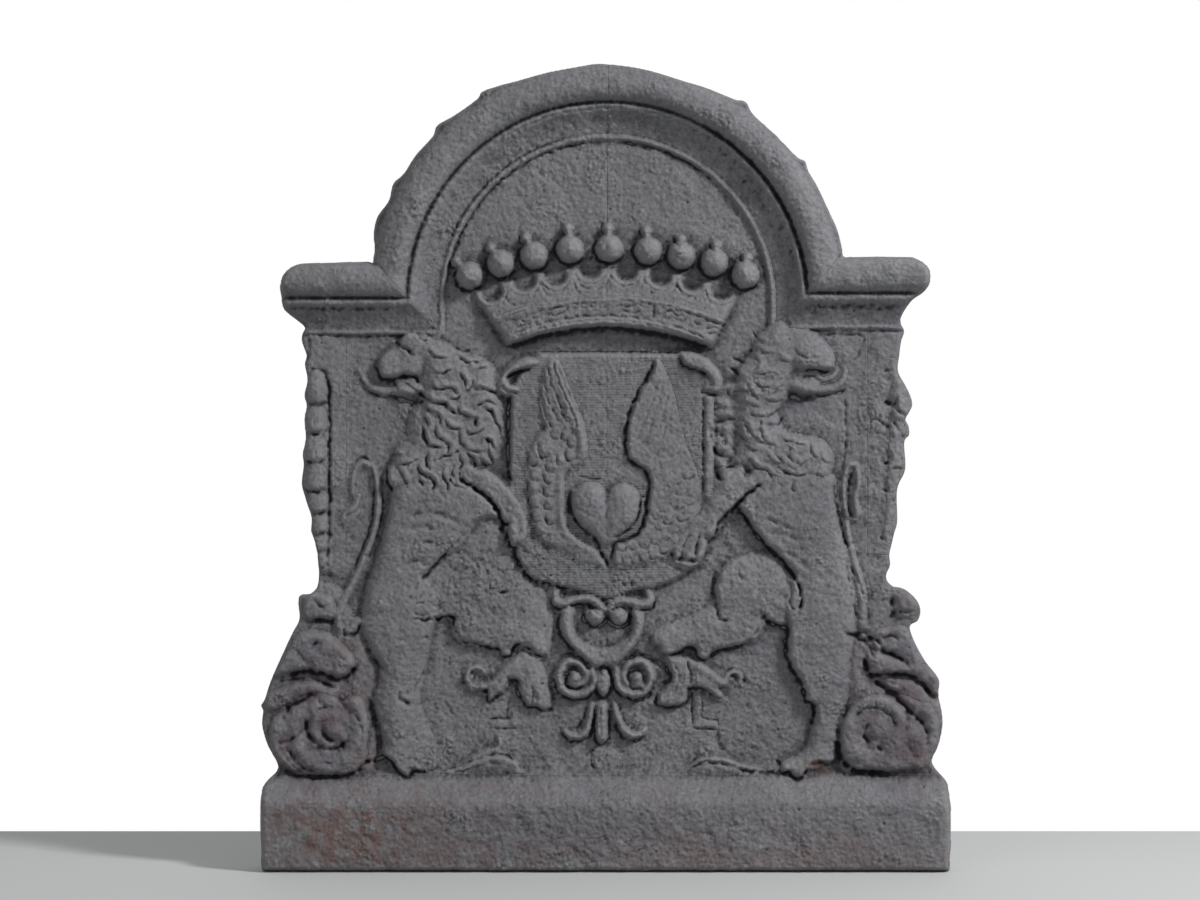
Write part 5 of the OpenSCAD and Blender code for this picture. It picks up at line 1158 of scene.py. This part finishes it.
# ------------------------ iron
def iron(name, rust):
    """Cast iron, coloured by the layers of the meshes, painted shade and highlight among them; rust is how
    much of it shows in patches.
    """
    mat = bpy.data.materials.new(name)
    mat.use_nodes = True
    nt = mat.node_tree
    nodes, links = nt.nodes, nt.links
    shader = nodes["Principled BSDF"]
    shader.inputs["Metallic"].default_value = 0.0
    shader.inputs["Specular IOR Level"].default_value = 0.25

    def add(kind, **values):
        node = nodes.new(kind)
        for key, value in values.items():
            setattr(node, key, value)
        return node

    coords = add("ShaderNodeTexCoord")

    def noise(scale, detail, rough):
        node = add("ShaderNodeTexNoise")
        node.inputs["Scale"].default_value = scale
        node.inputs["Detail"].default_value = detail
        node.inputs["Roughness"].default_value = rough
        links.new(coords.outputs["Object"], node.inputs["Vector"])
        return node.outputs["Fac"]

    def attribute(title):
        return add("ShaderNodeAttribute", attribute_name=title).outputs["Fac"]

    def ramp(value, stops):
        node = add("ShaderNodeValToRGB")
        while len(node.color_ramp.elements) < len(stops):
            node.color_ramp.elements.new(0.5)
        for element, (at, colour) in zip(node.color_ramp.elements, stops):
            element.position = at
            element.color = (*colour, 1)
        links.new(value, node.inputs["Fac"])
        return node.outputs["Color"]

    def mix(factor, a, b, kind="MIX"):
        node = add("ShaderNodeMix", data_type="RGBA", blend_type=kind)
        for socket, value in ((node.inputs[0], factor), (node.inputs[6], a), (node.inputs[7], b)):
            if isinstance(value, (float, int)):
                socket.default_value = value
            elif isinstance(value, tuple):
                socket.default_value = (*value, 1)
            else:
                links.new(value, socket)
        return node.outputs[2]

    def between(value, low, high, to_low=0.0, to_high=1.0):
        node = add("ShaderNodeMapRange")
        for at, number in enumerate((low, high, to_low, to_high), 1):
            node.inputs[at].default_value = number
        links.new(value, node.inputs[0])
        return node.outputs[0]

    # Grey iron with light specks, then rust, the purple-brown tint that also paints shade, and rust in
    # patches
    base = ramp(noise(9, 5, 0.6), [(0.3, (0.108, 0.108, 0.116)), (0.5, (0.130, 0.130, 0.139)),
                                   (0.7, (0.152, 0.152, 0.160))])
    speck = ramp(noise(240, 5, 0.7), [(0.30, (0.58, 0.58, 0.59)), (0.46, (0.94, 0.94, 0.94)),
                                      (0.56, (1.06, 1.06, 1.06)), (0.74, (1.45, 1.45, 1.43))])
    colour = mix(1.0, base, speck, "MULTIPLY")
    rusty = mix(noise(60, 5, 0.7), (0.085, 0.050, 0.042), (0.165, 0.098, 0.074))
    colour = mix(between(attribute("rust"), 0.0, 1.0, 0.0, 0.8), colour, rusty)
    tint_and_shade_colour = mix(noise(34, 5, 0.65), (0.055, 0.044, 0.055), (0.100, 0.088, 0.102))
    colour = mix(between(attribute("tint_and_painted_shade"), 0.0, 1.0, 0.0, 0.85), colour, tint_and_shade_colour)
    patch = between(noise(14, 6, 0.7), 0.56 - 0.1 * rust, 0.72, 0.0, rust)
    colour = mix(patch, colour, (0.115, 0.084, 0.080))

    # Dark in recesses and creases, as painted shade with the soot the iron holds there; pale on what stands
    # out, as a painted highlight
    colour = mix(between(attribute("deep"), 1.2, 9.0, 0.0, 0.45), colour, (0.030, 0.027, 0.032))
    colour = mix(between(attribute("sink_for_painted_light"), -0.2, -2.4, 0.0, 0.36), colour, (0.24, 0.24, 0.245))
    colour = mix(between(attribute("sink_for_painted_light"), 0.2, 2.0), colour, (0.010, 0.008, 0.011))
    links.new(colour, shader.inputs["Base Color"])

    links.new(between(noise(70, 4, 0.6), 0.3, 0.7, 0.62, 0.86), shader.inputs["Roughness"])
    height = add("ShaderNodeMath", operation="ADD")
    links.new(noise(420, 6, 0.7), height.inputs[0])
    links.new(noise(1300, 2, 0.5), height.inputs[1])
    bump = add("ShaderNodeBump")
    bump.inputs["Strength"].default_value = 0.5
    bump.inputs["Distance"].default_value = 0.0009
    links.new(height.outputs[0], bump.inputs["Height"])
    links.new(bump.outputs["Normal"], shader.inputs["Normal"])
    return mat


grey_iron = iron("iron_relief", rust=0.12)
field_iron = iron("iron_field", rust=0.15)
rusty_iron = iron("iron_rusty", rust=0.6)

RUSTY = ("console", "volute", "plinth")            # the nodes in rusty iron
cells, border, place_x, place_z = fitted(XS, ZS)
front_y = FACE_Y - surface
behind_y = np.maximum(FACE_Y + np.where(border, 0.0, PIECE_SEAT), front_y + THINNEST)
parts = [(node + "_cast", node, rusty_iron if node.startswith(RUSTY) else grey_iron,
          owner[:-1, :-1] == at) for at, node in enumerate(order)]
on_face, left = owner[:-1, :-1] == FIELD, X[:-1, :-1] < SEAM_X
parts += [("field_left", "back_plate", field_iron, on_face & left),
          ("field_right", "back_plate", field_iron, on_face & ~left)]
# Each piece carries its colour layers: how sunk it is, for painted shade and highlight, then rust, and the
# purple tint with its painted shade
for name, node, material, mask in parts:
    casting(name, node, material, cells & mask, place_x, place_z, front_y, behind_y,
            {"sink_for_painted_light": sink_for_painted_light, "deep": deep, "rust": rust, "tint_and_painted_shade": tint_and_painted_shade})

# The slab behind the face, with its rough back
back_x, back_z = np.arange(-348.0, 349.0, BACK_PITCH), np.arange(0.0, 806.0, BACK_PITCH)
cells, border, place_x, place_z = fitted(back_x, back_z)
at = (np.clip((place_z - ZS[0]).astype(int), 0, len(ZS) - 1),
      np.clip((place_x - XS[0]).astype(int), 0, len(XS) - 1))
uneven = 0.35 * grain(9, 31)[at] + 0.5 * grain(25, 32)[at]
from_edge = np.clip(inside(outline, place_x, place_z) / SLAB_EDGE, 0, 1)
back_y = BACK_Y - BACK_DENTS + np.clip(uneven, -BACK_DENTS, BACK_BUMPS) - SLAB_SINK * (1 - from_edge) ** 2
casting("plate_back", "back_plate", field_iron, cells, place_x, place_z, back_y,
        FACE_Y + np.where(border, 0.0, SLAB_SEAT))

# ------------------------ stage, camera, light
def plain(name, colour, roughness=0.75):
    """A material of one colour."""
    mat = bpy.data.materials.new(name)
    mat.use_nodes = True
    shader = mat.node_tree.nodes["Principled BSDF"]
    shader.inputs["Base Color"].default_value = (*colour, 1)
    shader.inputs["Roughness"].default_value = roughness
    return mat


def sheet(name, corners, material):
    """One flat face of the stage."""
    mesh = bpy.data.meshes.new(name)
    mesh.from_pydata(corners, [], [(0, 1, 2, 3)])
    mesh.materials.append(material)
    obj = bpy.data.objects.new(name, mesh)
    bpy.context.scene.collection.objects.link(obj)


# The floor ends a step behind the plate, where the photo has its white ground begin
WIDE, BEHIND = 6.0, 0.3
sheet("floor", [(-WIDE, -WIDE, 0), (WIDE, -WIDE, 0), (WIDE, BEHIND, 0), (-WIDE, BEHIND, 0)],
      plain("floor_grey", (0.42, 0.43, 0.43)))

# The world lights less than it shows: white to the camera, in reflections and through glass
WORLD_LIGHT = 0.42
world = bpy.data.worlds.new("studio")
world.use_nodes = True
bpy.context.scene.world = world
nodes, links = world.node_tree.nodes, world.node_tree.links
soft = nodes["Background"]
soft.inputs["Color"].default_value = (1, 1, 1, 1)
soft.inputs["Strength"].default_value = WORLD_LIGHT
white = nodes.new("ShaderNodeBackground")
white.inputs["Color"].default_value = (1, 1, 1, 1)
white.inputs["Strength"].default_value = 1.0
path = nodes.new("ShaderNodeLightPath")
seen = path.outputs["Is Camera Ray"]
for name in ("Is Glossy Ray", "Is Transmission Ray"):
    either = nodes.new("ShaderNodeMath")
    either.operation = "MAXIMUM"
    links.new(seen, either.inputs[0])
    links.new(path.outputs[name], either.inputs[1])
    seen = either.outputs[0]
choose = nodes.new("ShaderNodeMixShader")
links.new(seen, choose.inputs[0])
links.new(soft.outputs[0], choose.inputs[1])
links.new(white.outputs[0], choose.inputs[2])
links.new(choose.outputs[0], nodes["World Output"].inputs["Surface"])


def lamp(name, place, target, size, power):
    """A round area lamp that shines at its target."""
    data = bpy.data.lights.new(name, "AREA")
    data.shape = "DISK"
    data.size = size
    data.energy = power
    obj = bpy.data.objects.new(name, data)
    obj.location = place
    obj.rotation_euler = (Vector(target) - Vector(place)).to_track_quat("-Z", "Y").to_euler()
    bpy.context.scene.collection.objects.link(obj)


lamp("key", (2.1, -1.45, 2.4), (0, 0, 0.45), 0.6, 118)
lamp("fill", (-1.6, -2.6, 1.2), (0, 0, 0.4), 1.6, 10)

SENSOR, DISTANCE, ACROSS = 36, 3.0, 1.2             # 1.2 m fill the picture's width at 3 m
camera = bpy.data.cameras.new("photo")
camera.sensor_width = SENSOR
camera.lens = SENSOR * DISTANCE / ACROSS
view = bpy.data.objects.new("photo", camera)
view.location = (-0.006, -2.99, 0.418)
view.rotation_euler = (math.radians(90), 0, 0)
bpy.context.scene.collection.objects.link(view)
bpy.context.scene.camera = view
bpy.context.scene.view_settings.view_transform = "Standard"
